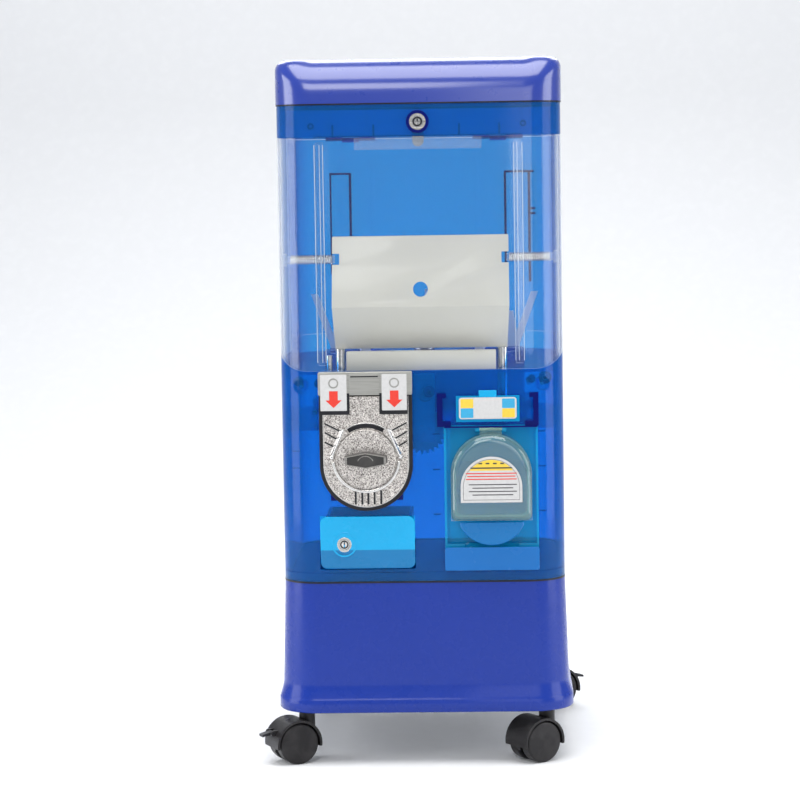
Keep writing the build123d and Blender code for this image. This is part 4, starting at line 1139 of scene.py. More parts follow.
@dataclass
class Cabinet(SubAssembly):
    """The base, the body shells, the front panel and what shows through it."""

    wall: float = 0.003
    corner: float = 0.042
    half_width: float = 0.1575
    flare: float = 0.008
    band_top: float = 0.075
    band_edge: float = 0.0007
    sweep_height: float = 0.017
    sweep_depth: float = 0.0038
    sweep_steps: int = 8
    boss_places: tuple[tuple[float, float, float], ...] = (
        (137.0, 431.0, 7.2), (122.0, 430.5, 4.4), (8.5, 417.5, 6.4),
        (-113.5, 428.0, 5.2), (-137.0, 430.0, 5.4),
    )

    def build(self) -> None:
        """Makes the cabinet's pieces."""
        self.make_base()
        self.dress(FINISHES.steel, "base_plate", "hinge_pins", "body_screws")
        self.dress(FINISHES.body_blue, "lower_shell", "front_panel")
        self.dress(FINISHES.hopper_blue, "rear_shell")
        self.screws()
        self.bosses()
        self.ribs()
        self.seams()

    def base_loops(self, solid: Solid, inset: float, bottom: float, top: float) -> list[list[Vert]]:
        """Adds one skin of the base: a sloping face that sweeps out into an upright band.

        Args:
            solid: The mesh that it joins.
            inset: How far inside the base's outside it runs.
            bottom: The height of its lower edge.
            top: The height of its upper edge.

        Returns:
            Its loops, from the lowest to the highest.
        """
        low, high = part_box("base_skirt")
        band, eased = self.band_top, self.band_edge
        levels = [(bottom, 0.0012), (bottom + 0.0014, 0.0), (band - 0.0012, 0.0), (band, eased)]
        for step in range(1, self.sweep_steps + 1):
            turn = math.radians(90.0 * step / self.sweep_steps)
            rise = self.sweep_height * math.sin(turn / 2) / math.sin(math.radians(45.0))
            levels.append((band + rise, eased + self.sweep_depth * math.sin(turn)))
        levels.append((top, self.flare))
        loops = []
        for height, lean in levels:
            back = lean + inset
            corner = self.corner + (self.flare - lean) / 2 - inset
            plan = Outline.rounded((low.x + back, low.y + back), (high.x - back, high.y - back), corner, 14)
            loops.append([solid.mesh.verts.new((x, y, height)) for x, y in plan])
        for first, second in zip(loops, loops[1:]):
            solid.wall(first, second)
        return loops

    def make_base(self) -> None:
        """Makes the base as a closed shell, open inside from below."""
        low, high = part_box("base_skirt")
        shell = Solid()
        outside = self.base_loops(shell, 0.0, low.z, high.z)
        inside = self.base_loops(shell, self.wall, low.z, high.z - self.wall)
        shell.wall(outside[0], inside[0])
        shell.mesh.faces.new(outside[-1])
        shell.mesh.faces.new(inside[-1])
        piece = shell.piece("base_moulding", FINISHES.deep_blue)
        piece.data.materials.append(FINISHES.deck_blue.material())
        for face in piece.data.polygons:
            face.material_index = 1 if face.normal.z > 0.9 else 0
        piece.data.shade_smooth()
        piece.data.set_sharp_from_angle(angle=math.radians(50.0))
        self.fit(piece, "opaque_blue", "base_skirt")

    def sag(self, x: float, reach: float) -> float:
        """How far the body's rounded corner falls back behind its front face at a place.

        Args:
            x: The place, measured from the middle.
            reach: How far beyond it, outwards, a piece set there goes.

        Returns:
            The depth.
        """
        past = max(0.0, abs(x) + reach - (self.half_width - self.corner))
        return self.corner - math.sqrt(self.corner**2 - past**2)

    def screws(self) -> None:
        """Sets the screws that hold the front panel's bosses."""
        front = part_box("front_panel")[0].y + self.wall
        heads = []
        for x, z, radius in self.boss_places:
            depth = front + self.sag(x * MM, radius * MM) + 0.0012
            heads.append(Vector((x * MM, depth, z * MM)))
        pattern = ScrewPattern("panel_screw_pattern", FINISHES.ink_blue)
        self.fit(pattern.drive("panel_screws", heads, 0.0026, 0.0012), "dark_blue")

    def bosses(self) -> None:
        """Makes the dark rings of the bosses behind the front panel."""
        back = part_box("front_panel")[0].y + self.wall
        rings = Solid()
        for x, z, radius in self.boss_places:
            centre = (x * MM, z * MM)
            circle = Outline.arc(centre, radius * MM, 0.0, 360.0, 36)[:-1]
            depth = back + self.sag(x * MM, radius * MM)
            rings.band(circle, Outline.scaled(circle, centre, 0.4), depth + 0.0070, depth + 0.0001)
        self.make(rings, "panel_bosses", FINISHES.deck_blue, "dark_blue", edge=0.0004, limit=ROUND_LIMIT)

    def ribs(self) -> None:
        """Lays the ribs inside the rear shell and the snap dashes beside the exit."""
        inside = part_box("rear_shell")[1].y - 0.0083 - self.wall - 0.0016
        bars = [Bar(-103.0, 657.0, 2.4, 26.0), Bar(-91.0, 585.0, 145.0, 2.8)]
        bars += [Bar(-115.0, 596.0, 122.0, 1.8), Bar(98.0, 585.0, 145.0, 2.8)]
        outer = [Bar(115.0, 657.0, 2.4, 36.0), Bar(127.0, 590.0, 134.0, 3.0)]
        outer += [Bar(130.0, 612.0, 2.4, 9.0), Bar(130.0, 606.0, 2.4, 9.0)]
        self.bars("rear_shell_ribs", bars, FINISHES.ink_blue, "dark_blue", inside, 0.0050)
        outer_depth = inside - self.sag(0.130, 0.0045)
        self.bars("rear_corner_ribs", outer, FINISHES.ink_blue, "dark_blue", outer_depth, 0.0050)
        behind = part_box("front_panel")[0].y + self.wall + 0.0009
        columns = (("middle", 15.5, (370.5, 331.0, 281.0)), ("right", 132.5, (372.0, 333.0, 283.0)))
        for name, x, heights in (*columns, ("left", -141.0, (352.0, 333.0))):
            dashes = [Bar(x, z, 1.5, 8.0) for z in heights]
            depth = behind + self.sag(x * MM, 0.004)
            self.bars(f"panel_{name}_dashes", dashes, FINISHES.ink_blue, "dark_blue", depth, 0.0016)

    def seams(self) -> None:
        """Makes the dark line between the base and the body."""
        self.seam("base_seam", "lower_shell", self.corner, (1.0012, 0.978), (-0.0013, 0.0008))


@dataclass
class Hopper(SubAssembly):
    """The clear window, the capsule shelf and the guards inside it."""

    coil_turns: float = 23.0

    def build(self) -> None:
        """Makes the hopper's pieces."""
        self.dress(FINISHES.clear, "clear_window", "window_rails")
        self.dress(FINISHES.rail_clear, "window_latch_rail", "spring_pins")
        self.dress(FINISHES.hopper_blue, "hopper_shelf", "wheel_floor")
        self.rail_edges()
        self.dress(FINISHES.chrome, "baffle_posts")
        self.moulding("baffle_plate", "baffle_panel", FINISHES.cream, "cream", Edge.MOULDED.value)
        self.moulding("guard_trough_moulding", "guard_trough", FINISHES.cream, "cream", Edge.MOULDED.value)
        self.springs()

    def rail_edges(self) -> None:
        """Lays the pale edges of the window's two upright rails."""
        low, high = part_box("window_rails")
        middle, length = (low.z + high.z) / 2 / MM, (high.z - low.z) / MM - 6.0
        bars = [Bar(side * x, middle, length, 0.7) for side in (-1.0, 1.0) for x in (104.9, 108.6, 114.2)]
        self.bars("rail_edges", bars, FINISHES.frosted, "clear", low.y + 0.0015, 0.0028)

    def springs(self) -> None:
        """Winds the two springs that hold the baffle back."""
        low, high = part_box("baffle_springs")
        middle = (low + high) / 2
        wire = 0.0007
        coil = (high.z - low.z) / 2 - wire - 0.0001
        panel_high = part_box("baffle_panel")[1]
        length = high.x - panel_high.x - 2 * wire
        starts = [Vector((x, middle.y, middle.z)) for x in (low.x + wire, panel_high.x + wire)]
        pattern = CoilPattern("baffle_spring_pattern", FINISHES.chrome, self.coil_turns)
        self.fit(pattern.wind("baffle_spring_coils", starts, coil, wire, length), "steel", "baffle_springs")


@dataclass
class CapsuleDrive(SubAssembly):
    """The capsule wheel, its gears and the coin drum."""

    def build(self) -> None:
        """Dresses the drive."""
        self.dress(FINISHES.hopper_blue, "capsule_wheel")
        self.dress(FINISHES.frosted, "agitator_fins")
        self.dress(FINISHES.steel, "wheel_pivot", "pinion_shaft", "knob_shaft", "transfer_bracket")
        self.dress(FINISHES.acetal, "drive_gear", "transfer_gear", "coin_drum")


@dataclass
class Lid(SubAssembly):
    """The cap, the skirt under it and its lock."""

    body: Body = Body.LID
    cap_corner: float = 0.043
    front_curve: float = 0.040
    side_curve: float = 0.012
    wall: float = 0.003
    corner_steps: int = 16
    curve_steps: int = 10

    def build(self) -> None:
        """Makes the lid's pieces."""
        self.make_cap()
        self.dress(FINISHES.band_blue, "lid_skirt")
        # The black line under the cap is painted shadow.
        self.cap_painted_shadow_line()
        self.band_ribs()

    def cap_skin(self, solid: Solid, inset: float, bottom: float) -> list[Vert]:
        """Adds one skin of the cap: broad curves at the front and back, tight ones at the sides.

        Args:
            solid: The mesh that it joins.
            inset: How far inside the cap's outside it runs.
            bottom: The height of its lower edge.

        Returns:
            Its lowest loop.
        """
        low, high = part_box("top_cap")
        radius = self.cap_corner - inset
        corners = ((high.x, low.y, -90), (high.x, high.y, 0), (low.x, high.y, 90), (low.x, low.y, 180))
        rays = []
        for x, y, start in corners:
            cx = x - math.copysign(self.cap_corner, x)
            cy = y + (self.cap_corner if y < 0 else -self.cap_corner)
            for step in range(self.corner_steps + 1):
                angle = math.radians(start + 90.0 * step / self.corner_steps)
                rays.append((cx, cy, math.cos(angle), math.sin(angle)))
        foot = [(cx + radius * c, cy + radius * s, bottom) for cx, cy, c, s in rays]
        loops = [[solid.mesh.verts.new(place) for place in foot]]
        for level in range(self.curve_steps + 1):
            turn = math.radians(90.0 * level / self.curve_steps)
            loop = []
            for cx, cy, c, s in rays:
                curve = self.side_curve + (self.front_curve - self.side_curve) * s * s - inset
                reach = radius - curve * (1.0 - math.cos(turn))
                height = high.z - inset - curve * (1.0 - math.sin(turn))
                loop.append(solid.mesh.verts.new((cx + reach * c, cy + reach * s, height)))
            loops.append(loop)
        for first, second in zip(loops, loops[1:]):
            solid.wall(first, second)
        solid.mesh.faces.new(loops[-1])
        return loops[0]

    def make_cap(self) -> None:
        """Makes the cap as a closed shell."""
        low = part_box("top_cap")[0]
        shell = Solid()
        outside = self.cap_skin(shell, 0.0, low.z)
        inside = self.cap_skin(shell, self.wall, low.z)
        shell.wall(outside, inside)
        piece = shell.piece("cap_moulding", FINISHES.cap_blue)
        piece.data.shade_smooth()
        piece.data.set_sharp_from_angle(angle=math.radians(40.0))
        self.fit(piece, "opaque_blue", "top_cap")

    def cap_painted_shadow_line(self) -> None:
        """Makes the black line under the cap: painted shadow for the gap under the cap's overhang."""
        self.seam("cap_painted_shadow_line", "top_cap", self.cap_corner, (0.9985, 0.975), (-0.0016, 0.0006))

    def band_ribs(self) -> None:
        """Lays the ribs and small bosses behind the lid's front band."""
        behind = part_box("lid_skirt")[0].y + 0.0022
        bars = [Bar(x, 706.5, 12.0, 2.0) for x in (-93.5, -48.5, 45.5, 89.5)]
        bars.append(Bar(0.0, 699.8, 1.2, 228.0))
        self.bars("lid_band_ribs", bars, FINISHES.ink_blue, "dark_blue", behind, 0.0030)
        rings = Solid()
        for x, radius in ((-117.5, 3.6), (115.5, 3.6)):
            centre = (x * MM, 0.7115)
            circle = Outline.arc(centre, radius * MM, 0.0, 360.0, 28)[:-1]
            rings.band(circle, Outline.scaled(circle, centre, 0.45), behind + 0.0030, behind - 0.0010)
        self.make(rings, "lid_band_bosses", FINISHES.ink_blue, "dark_blue", edge=0.0003, limit=ROUND_LIMIT)


@dataclass
class CoinMechanism(SubAssembly):
    """The coin head, its labels, the round plate and the turning grip."""

    centre: Point = (-0.062, 0.345)
    face: float = -0.159
    arc_z: float = 0.338
    half: float = 0.0516
    label_spans: tuple[Point, Point] = ((-0.0494, -0.0202), (0.0185, 0.0460))
    arrow_width: float = 0.018
    shaft_width: float = 0.0095
    slot_radius: float = 0.0392
    bell_radius: float = 0.0343

    def at(self, x: float, z: float) -> Point:
        """A point from its distances, in millimetres, right of the grip's axis and above the floor."""
        return (self.centre[0] + x * MM, z * MM)

    def build(self) -> None:
        """Makes the coin mechanism's pieces."""
        self.make_plate()
        self.make_bell()
        self.make_head()
        self.make_labels()
        self.make_knob()
        self.dress(FINISHES.ink_blue, "coin_mech_housing")

    def make_plate(self) -> None:
        """Makes the hammered plate, its gasket, bright rim, and the black bars painted as shade in its
        engraved channels.
        """
        middle = (self.centre[0], self.arc_z)
        top = 0.4152
        face = self.face
        gasket = Solid().slab(Outline.shield(middle, self.half, top), face - 0.0002, face - 0.0042)
        self.make(gasket, "plate_gasket", FINISHES.black, "black", edge=0.0009)
        outline = Outline.shield(middle, 0.0480, top - 0.0003)
        rim = Solid().slab(outline, face - 0.0043, face - 0.0060, 0.985, middle)
        self.make(rim, "plate_rim", FINISHES.rim_metal, "chrome", edge=0.0004)
        plate = Solid().slab(Outline.shield(middle, 0.0462, top - 0.001), face - 0.0061, face - 0.0070)
        self.make(plate, "hammered_plate", FINISHES.hammered, "chrome_cast", "coin_mech_plate", edge=0.0006)
        self.engrave()

    def engrave(self) -> None:
        """Lays a thin black bar on each of the plate's engraved channels as painted shade, and the bright
        lip beside each.
        """
        slanted = (
            ((-47.7, 385.8), (-23.6, 373.5)), ((-47.1, 375.7), (-27.5, 364.5)),
            ((-47.1, 365.0), (-33.0, 357.2)),
        )
        groove_shades: list[Bar] = []
        lips: list[Bar] = []
        for side in (-1.0, 1.0):
            for (x0, z0), (x1, z1) in slanted:
                start = max(x0, -45.5)
                z_start = z0 + (start - x0) * (z1 - z0) / (x1 - x0)
                length = math.hypot(x1 - start, z1 - z_start)
                turn = side * math.degrees(math.atan2(x1 - start, z1 - z_start))
                middle_x = -62.0 - side * (start + x1) / 2
                middle_z = (z_start + z1) / 2
                groove_shades.append(Bar(middle_x, middle_z, length, 1.5, -turn))
                lips.append(Bar(middle_x, middle_z - 1.3, length, 0.7, -turn))
        for x in (-74.3, -67.0, -60.3, -53.4, -46.0):
            groove_shades.append(Bar(x, 302.0, 15.5, 2.2))
            lips.append(Bar(x + 1.6, 302.0, 15.5, 0.7))
        depth = self.face - 0.0071
        # The black bars sit on the plate's face as painted shade for its engraved channels.
        self.bars("plate_groove_shades", groove_shades, FINISHES.black, "black", depth, 0.0004)
        self.bars("plate_groove_lips", lips, FINISHES.rim_metal, "chrome", depth, 0.0008)

    def cheek(self, side: float) -> list[Point]:
        """One of the two flat corners between the bell's slope, the disc and the coin slot.

        Args:
            side: -1 for the left one, 1 for the right.

        Returns:
            Its outline.
        """
        start, end = 90.0 + side * -66.8, 90.0 + side * -34.0
        inner = Outline.arc(self.centre, self.bell_radius, start, end, 10)
        return inner + [self.at(side * 21.5, 378.2), self.at(side * 23.1, 378.2)]

    def slope(self, side: float, low: float, high: float) -> list[Point]:
        """One bell slope's outline, from low to high across it, in millimetres out from the disc."""
        across = (side * 0.92 * MM, 0.392 * MM)
        foot, top = self.at(side * 35.9, 348.0), self.at(side * 23.1, 378.0)
        near = [(p[0] + across[0] * low, p[1] + across[1] * low) for p in (foot, top)]
        far = [(p[0] + across[0] * high, p[1] + across[1] * high) for p in (top, foot)]
        return near + far

    def make_bell(self) -> None:
        """Makes the raised bell over the grip, the half ring under it and the coin slot's arc, whose
        opening is a black sheet of painted shade.
        """
        base = self.face - 0.0069
        top = self.face - 0.0114
        slopes, cheeks, bumps = Solid(), Solid(), Solid()
        for side in (-1.0, 1.0):
            rear = slopes.loop(self.slope(side, 0.0, 5.2), base)
            face = slopes.loop(self.slope(side, 0.0, 1.6), top)
            slopes.wall(rear, face)
            slopes.mesh.faces.new(rear)
            slopes.mesh.faces.new(list(reversed(face)))
            cheeks.slab(self.cheek(side), base, top)
            bumps.dome(self.at(side * 37.8, 347.2), 0.0032, base, 0.0042)
        self.make(slopes, "bell_slopes", FINISHES.chrome, "chrome", edge=0.0006)
        self.make(cheeks, "bell_cheeks", FINISHES.hammered, "chrome_cast", edge=0.0002)
        half_ring = Outline.sector(self.centre, 0.0382, self.bell_radius, 184.0, 356.0, 60)
        self.make(
            Solid().slab(half_ring, base, self.face - 0.0098),
            "grip_half_ring", FINISHES.chrome, "chrome", edge=0.0014, limit=ROUND_LIMIT, segments=3,
        )
        # The slot's opening is a thin black sheet: painted shade.
        slot = Outline.sector(self.centre, self.slot_radius, self.bell_radius, 58.0, 122.0, 24)
        piece = Solid().slab(slot, base, self.face - 0.0074)
        self.make(piece, "arc_slot_shade", FINISHES.black, "black", edge=0.0002)
        brow = Outline.sector(self.centre, 0.0406, self.slot_radius, 56.0, 124.0, 24)
        piece = Solid().slab(brow, base, self.face - 0.0100)
        self.make(piece, "arc_slot_brow", FINISHES.chrome, "chrome", edge=0.0004)
        piece = bumps.piece("bell_pivot_bumps", FINISHES.chrome)
        piece.data.shade_smooth()
        self.fit(piece, "chrome")

    def make_head(self) -> None:
        """Makes the coin head and the line across its middle."""
        low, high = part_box("coin_mech_head")
        outline = Outline.rounded((low.x, low.z), (high.x, high.z), 0.0016)
        self.make(
            Solid().slab(outline, high.y, low.y + 0.0009),
            "coin_head", FINISHES.head_metal, "chrome", "coin_mech_head", edge=0.0012, segments=3,
        )
        flat = Outline.rounded(self.at(-17.4, 417.6), self.at(15.7, 439.5), 0.0010)
        piece = Solid().slab(flat, low.y + 0.0010, low.y + 0.0001)
        self.make(piece, "coin_head_flat", FINISHES.head_metal, "chrome", edge=0.0005)
        line = [Bar(-62.8, 436.3, 1.3, 30.5)]
        self.bars("coin_head_line", line, FINISHES.black, "black", low.y, 0.0003)

    def make_labels(self) -> None:
        """Makes the price labels, their arrows, coin rings and black frames."""
        low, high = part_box("coin_labels")
        front, back = low.y, high.y
        paper, arrows, rings, frames = Solid(), Solid(), Solid(), Solid()
        for left, right in self.label_spans:
            x0, x1 = self.centre[0] + left, self.centre[0] + right
            paper.slab(Outline.rounded((x0, 0.3987), (x1, 0.4388), 0.0008), back, front)
            middle = (x0 + x1) / 2
            shaft, head = self.shaft_width / 2, self.arrow_width / 2
            right = [(head, 0.4105), (shaft, 0.4105), (shaft, 0.4206)]
            left = [(-x, z) for x, z in reversed(right)]
            arrow = [(middle + x, z) for x, z in [(0.0, 0.4020), *right, *left]]
            arrows.slab(arrow, front - PRINT_GAP, front - PRINT_DEPTH)
            coin = (middle, 0.4292)
            outer = Outline.arc(coin, 0.0056, 0.0, 360.0, 32)[:-1]
            rings.band(outer, Outline.scaled(outer, coin, 0.72), front - PRINT_GAP, front - PRINT_DEPTH)
            for z0, z1, nearest in ((0.3943, 0.3987, front + 0.0003), (0.3990, 0.4150, back + 0.0001)):
                outline = Outline.rounded((x0 - 0.001, z0), (x1 + 0.001, z1), 0.0006)
                frames.slab(outline, back + 0.003, nearest)
        for x0, x1 in ((-21.3, -17.4), (15.7, 18.5)):
            outline = Outline.rounded(self.at(x0, 394.5), self.at(x1, 418.0), 0.0006)
            frames.slab(outline, back + 0.003, front + 0.0002)
        self.make(frames, "label_frame", FINISHES.black, "black", "label_frames", edge=0.0003)
        self.make(paper, "price_labels", FINISHES.paper, "white_label", "coin_labels", edge=0.0002)
        self.fit(arrows.piece("label_arrows", FINISHES.red_ink), "white_label")
        self.fit(rings.piece("label_coin_rings", FINISHES.head_metal), "white_label")

    def make_knob(self) -> None:
        """Makes the turning disc and its grip."""
        low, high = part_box("knob_disc")
        radius = (high.x - low.x) / 2
        circle = Outline.arc(self.centre, radius - 0.0006, 0.0, 360.0, 96)[:-1]
        self.make(
            Solid().slab(circle, high.y, low.y + 0.0002, 0.985, self.centre),
            "turning_disc", FINISHES.hammered, "chrome_cast", "knob_disc",
            edge=0.0009, limit=ROUND_LIMIT, body=Body.KNOB,
        )
        low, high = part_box("knob_grip")
        middle = (self.centre[0], self.centre[1])
        foot = Outline.hexagon(middle, 0.0236, 0.0088)
        self.make(
            Solid().slab(foot, high.y, low.y + 0.0012, 0.955, middle),
            "grip_body", FINISHES.grip, "dark_grey", "knob_grip", edge=0.0011, segments=3, body=Body.KNOB,
        )
        rim = Outline.hexagon(middle, 0.0225, 0.0084)
        band = Solid().band(rim, Outline.scaled(rim, middle, 0.90), low.y + 0.0022, low.y + 0.0001)
        arch = (middle[0], middle[1] - 0.0042)
        ridge = Outline.sector(arch, 0.0098, 0.0089, 25.0, 155.0, 16)
        band.slab(ridge, low.y + 0.0022, low.y + 0.0008)
        self.make(band, "grip_rim", FINISHES.grip_edge, "dark_grey", edge=0.0003, body=Body.KNOB)


@dataclass
class CapsuleExit(SubAssembly):
    """The exit module, its chute, clear flap and sticker, and the card above it."""

    dome_straight: float = 0.052

    def build(self) -> None:
        """Makes the exit's pieces."""
        self.dress(FINISHES.exit_blue, "exit_module", "exit_chute")
        self.dress(FINISHES.dome, "exit_flap")
        self.dress(FINISHES.ink_blue, "window_brackets")
        self.dress(FINISHES.exit_blue, "card_holder")
        self.make_card()
        self.make_tab()
        self.make_scoop()
        self.make_rim()
        self.make_sticker()

    def make_tab(self) -> None:
        """Makes the pull tab over the card and the module's dark top line."""
        low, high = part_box("card_holder")
        middle = (low.x + high.x) / 2
        outline = Outline.rounded((middle - 0.0095, high.z - 0.0080), (middle + 0.0095, high.z), 0.0010)
        piece = Solid().slab(outline, low.y + 0.0020, low.y - 0.0004)
        self.make(piece, "card_tab", FINISHES.sky_blue, "bright_blue", edge=0.0004)
        low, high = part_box("exit_module")
        line = [Bar((low.x + high.x) / 2 / MM, high.z / MM - 1.2, 1.8, (high.x - low.x) / MM - 1.0)]
        self.bars("module_top_line", line, FINISHES.ink_blue, "dark_blue", low.y - 0.0001, 0.0012)

    def make_scoop(self) -> None:
        """Makes the shallow finger scoop under the flap and the lip across the module."""
        low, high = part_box("exit_module")
        middle = (low.x + high.x) / 2
        arc = Outline.arc((middle, 0.2860), 0.0395, 205.0, 335.0, 28)
        outline = arc + [(middle + 0.0350, 0.2725), (middle - 0.0350, 0.2725)]
        piece = Solid().slab(outline, low.y + 0.0006, low.y - 0.0008, 0.95, (middle, 0.2700))
        self.make(piece, "finger_scoop", FINISHES.module_scoop, "bright_blue", edge=0.0005)
        lower = Outline.rounded((low.x - 0.0004, low.z), (high.x + 0.0004, 0.2448), 0.0022)
        piece = Solid().slab(lower, low.y + 0.0020, low.y - 0.0012)
        self.make(piece, "module_lower_front", FINISHES.module_low, "bright_blue", edge=0.0007)

    def make_card(self) -> None:
        """Makes the small card with its blocks of colour."""
        low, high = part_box("instruction_card")
        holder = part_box("card_holder")[0]
        back, front = holder.y + 0.0002, holder.y - 0.0008
        border = Outline.rounded((low.x, low.z), (high.x, high.z), 0.0030)
        card = Solid().slab(border, back, front)
        self.make(card, "card_border", FINISHES.paper, "white_label", "instruction_card", edge=0.0002)
        width, tall = high.x - low.x, high.z - low.z
        inks = (
            (0.03, 0.25, 0.06, 0.50, FINISHES.blue_ink), (0.03, 0.25, 0.52, 0.94, FINISHES.yellow_ink),
            (0.75, 0.97, 0.06, 0.48, FINISHES.yellow_ink), (0.75, 0.97, 0.50, 0.94, FINISHES.blue_ink),
        )
        for number, (x0, x1, z0, z1, ink) in enumerate(inks, start=1):
            block = Outline.rounded(
                (low.x + x0 * width, low.z + z0 * tall), (low.x + x1 * width, low.z + z1 * tall), 0.0010
            )
            print_layer = Solid().slab(block, front - PRINT_GAP, front - 0.0001)
            self.fit(print_layer.piece(f"card_block_{number}", ink), "white_label")

    def arch(self, inset: float, low_z: float | None = None, high_z: float | None = None) -> list[Point]:
        """The sticker's outline, round on top, or a band of it between two heights.

        Args:
            inset: How far inside the sticker's edge it runs.
            low_z: Where the band starts, if not at the bottom.
            high_z: Where it stops, if not at the top.

        Returns:
            The points.
        """
        low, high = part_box("flap_sticker")
        middle = (low.x + high.x) / 2
        radius = (high.x - low.x) / 2 - inset
        arch_z = high.z - (high.x - low.x) / 2
        bottom = low_z if low_z is not None else low.z + inset
        top = high_z if high_z is not None else arch_z + radius
        first = math.asin(max(-1.0, min(1.0, (bottom - arch_z) / radius))) if bottom > arch_z else 0.0
        last = math.asin(max(-1.0, min(1.0, (top - arch_z) / radius)))
        first, last = math.degrees(first), math.degrees(last)
        right = Outline.arc((middle, arch_z), radius, first, last, 20)
        left = Outline.arc((middle, arch_z), radius, 180.0 - last, 180.0 - first, 20)
        square = [] if bottom > arch_z else [(middle - radius, bottom), (middle + radius, bottom)]
        if top >= arch_z + radius:
            left = left[1:]
        return square + right + left

    def make_rim(self) -> None:
        """Makes the pale moulded edge round the dome's flat front."""
        low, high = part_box("exit_flap")
        middle, half = (low.x + high.x) / 2, (high.x - low.x) / 2
        arch_z = low.z + self.dome_straight
        edge = Solid()
        for radius, depth in ((half - 0.0002, low.y + 0.0092), (half - 0.0064, low.y + 0.0004)):
            loops = []
            for inset in (0.0, 0.0009):
                reach = radius - inset
                square = [(middle - reach, low.z + half - reach), (middle + reach, low.z + half - reach)]
                loops.append(square + Outline.arc((middle, arch_z), reach, 0.0, 180.0, 36))
            edge.band(loops[0], loops[1], depth + 0.0009, depth)
        self.make(
            edge, "dome_edges", FINISHES.rail_clear, "clear",
            edge=0.0002, limit=ROUND_LIMIT, body=Body.FLAP,
        )

    def make_sticker(self) -> None:
        """Makes the arched sticker on the flap: ground, thin frame, yellow head and rules."""
        low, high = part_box("flap_sticker")
        middle = (low.x + high.x) / 2
        half = (high.x - low.x) / 2
        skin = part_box("exit_flap")[0].y
        ground = Solid().slab(self.arch(0.0), skin - 0.00002, skin - 0.0003)
        piece = ground.piece("sticker_ground", FINISHES.paper)
        self.fit(piece, "white_label", "flap_sticker", body=Body.FLAP)
        front = skin - 0.00031
        thin = Solid().band(self.arch(0.0028), self.arch(0.0032), front, front - INK_DEPTH)
        self.fit(thin.piece("sticker_frame", FINISHES.black_ink), "white_label", body=Body.FLAP)
        head = Solid().slab(self.arch(0.0036, high.z - 0.0155), front, front - INK_DEPTH)
        self.fit(head.piece("sticker_header", FINISHES.yellow_ink), "white_label", body=Body.FLAP)
        width = 2 * (half - 0.006) / MM
        centre, top = middle / MM, high.z / MM
        red = [Bar(centre, top - 18.6 - 3.2 * k, 1.1, width - 3.0 * (k % 2)) for k in range(3)]
        short = width - 3.0
        black = [Bar(centre + 1.5, top - 31.0 - 3.8 * k, 1.0, short - 8.0 * (k % 2)) for k in range(4)]
        ticks = [Bar(centre - 12.0 + 8.0 * k, top - 7.6, 1.6, 4.2) for k in range(4)]
        ticks.append(Bar(centre, top - 12.6, 1.5, width * 0.82))
        black += ticks
        for name, bars, ink in (
            ("sticker_red_rules", red, FINISHES.red_ink),
            ("sticker_black_rules", black, FINISHES.black_ink),
        ):
            self.bars(name, bars, ink, "white_label", front - 0.0001, INK_DEPTH, Body.FLAP)


@dataclass
class CoinDrawer(SubAssembly):
    """The coin drawer and its sleeve."""

    body: Body = Body.DRAWER
    corner: float = 0.0075
    crease: float = 0.0375
    lean: float = 0.0045

    def build(self) -> None:
        """Makes the drawer's pieces."""
        self.make_front()
        self.dress(FINISHES.steel, "coin_tray")
        self.dress(FINISHES.ink_blue, "coin_box_sleeve")

    def make_front(self) -> None:
        """Makes the front: an upright face, a crease, and a lower face that leans in under it, laid in a
        darker copy of its blue as painted shade.
        """
        low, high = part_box("drawer_front")
        crease = high.z - self.crease * (high.z - low.z) / 0.059
        outline = Outline.rounded((low.x, low.z), (high.x, high.z), self.corner, 8)
        front = Solid()
        rear = front.loop(outline, high.y)
        face = front.loop(outline, low.y)
        front.wall(rear, face)
        front.mesh.faces.new(rear)
        front.mesh.faces.new(list(reversed(face)))
        plane = {"plane_co": (0.0, 0.0, crease), "plane_no": (0.0, 0.0, 1.0)}
        geometry = [*front.mesh.verts, *front.mesh.edges, *front.mesh.faces]
        bmesh.ops.bisect_plane(front.mesh, geom=geometry, dist=0.00001, **plane)
        for vert in front.mesh.verts:
            if vert.co.y < low.y + 0.0001 and vert.co.z < crease - 0.0001:
                vert.co.y += self.lean * (crease - vert.co.z) / (crease - low.z)
        for face in front.mesh.faces:
            # Faces below the crease take the darker copy of the blue: painted shade.
            face.material_index = 1 if face.calc_center_median().z < crease - 0.0001 else 0
        piece = front.piece("drawer_moulding", FINISHES.sky_blue)
        piece.data.materials.append(FINISHES.sky_blue_painted_shade.material())
        self.soften(piece, 0.0009, 5.0, 3)
        self.fit(piece, "cyan", "drawer_front")


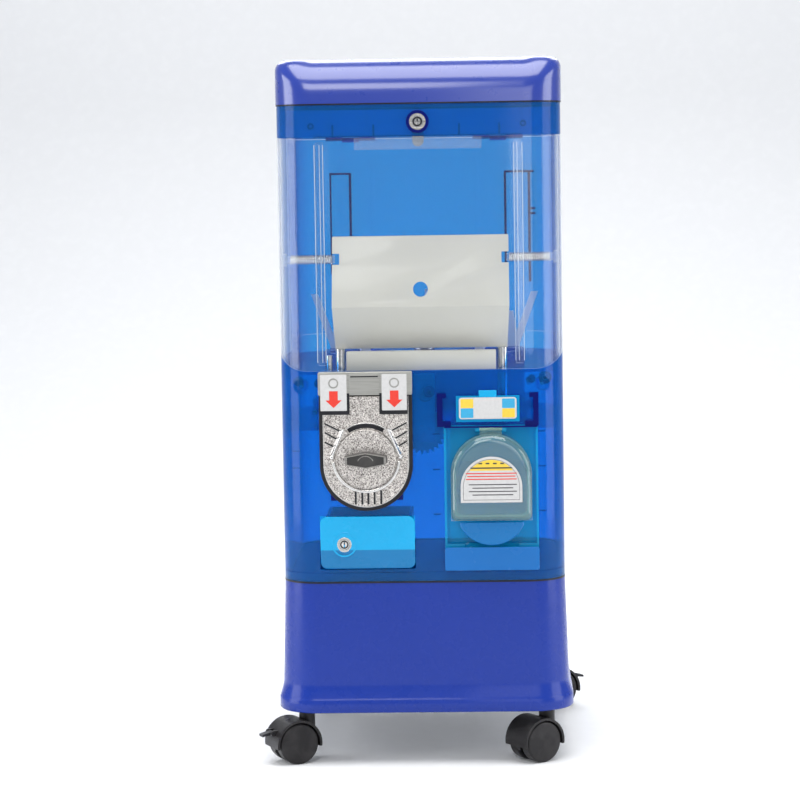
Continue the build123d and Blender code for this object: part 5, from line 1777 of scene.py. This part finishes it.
@dataclass
class Locks(SubAssembly):
    """The two tubular cam locks, with their rings and keyways."""

    def build(self) -> None:
        """Makes both locks."""
        self.make_lock("lid", Body.LID, Body.LID_LOCK)
        self.make_lock("drawer", Body.DRAWER, Body.DRAWER_LOCK)
        self.make_scoop()

    def make_lock(self, name: str, fixed: Body, turning: Body) -> None:
        """Makes one lock's face.

        Args:
            name: What the lock is on.
            fixed: The body that holds it.
            turning: The body of its plug.
        """
        low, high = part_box(f"{name}_lock_barrel")
        centre = ((low.x + high.x) / 2, (low.z + high.z) / 2)
        radius = (high.x - low.x) / 2
        plug_low, plug_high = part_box(f"{name}_lock_plug")
        plug = (plug_high.x - plug_low.x) / 2
        self.dress(FINISHES.chrome, f"{name}_lock_barrel", f"{name}_lock_plug")
        circle = Outline.arc(centre, radius * 0.92, 0.0, 360.0, 48)[:-1]
        share = (plug + 0.0004) / (radius * 0.92)
        inner = Outline.scaled(circle, centre, max(share, 0.62))
        ring = Solid().band(circle, inner, low.y + 0.0004, low.y - 0.0002)
        piece = ring.piece(f"{name}_lock_ring", FINISHES.rim_metal)
        self.soften(piece, 0.0003, 50.0)
        self.fit(piece, "chrome", body=fixed)
        if name == "lid":
            outer = Outline.arc(centre, radius, 0.0, 360.0, 56)[:-1]
            bezel = Solid().band(outer, Outline.scaled(outer, centre, 0.72), low.y + 0.0004, low.y - 0.0005)
            self.make(
                bezel, "lid_lock_bezel", FINISHES.ink_blue, "dark_blue",
                edge=0.0003, limit=ROUND_LIMIT, body=fixed,
            )
        # The keyway's hole is a flat black ring and slot on the plug's face: painted shade.
        moat = Outline.arc(centre, plug * 0.86, 0.0, 360.0, 40)[:-1]
        back, front = plug_low.y - PRINT_GAP, plug_low.y - 0.00015
        band = Solid().band(moat, Outline.scaled(moat, centre, 0.66), back, front)
        corners = ((centre[0] - 0.0007, centre[1]), (centre[0] + 0.0007, centre[1] + plug * 0.5))
        band.slab(Outline.rounded(*corners, 0.0003), back, front)
        self.fit(band.piece(f"{name}_keyway_shade", FINISHES.black), "chrome", body=turning)

    def make_scoop(self) -> None:
        """Makes the raised collar round the drawer's lock."""
        low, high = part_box("drawer_lock_barrel")
        centre = ((low.x + high.x) / 2, (low.z + high.z) / 2)
        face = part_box("drawer_front")[0].y
        outer = Outline.arc(centre, 0.0140, 0.0, 360.0, 56)[:-1]
        collar = Solid().band(outer, Outline.scaled(outer, centre, 0.87), face + 0.0012, face - 0.0003)
        self.make(
            collar, "drawer_lock_collar", FINISHES.sky_blue, "cyan",
            edge=0.0005, limit=ROUND_LIMIT, body=Body.DRAWER,
        )


def main() -> None:
    """Builds the machine, sub-assembly by sub-assembly."""
    logging.basicConfig(level=logging.INFO, format="%(name)s: %(message)s")
    assemblies: list[SubAssembly] = [
        Studio(), Castors(), Cabinet(), Hopper(), CapsuleDrive(), Lid(),
        CoinMechanism(), CapsuleExit(), CoinDrawer(), Locks(),
    ]
    for assembly in assemblies:
        assembly.build()
        log.info("finished %s", type(assembly).__name__)


if __name__ == "__main__":
    main()
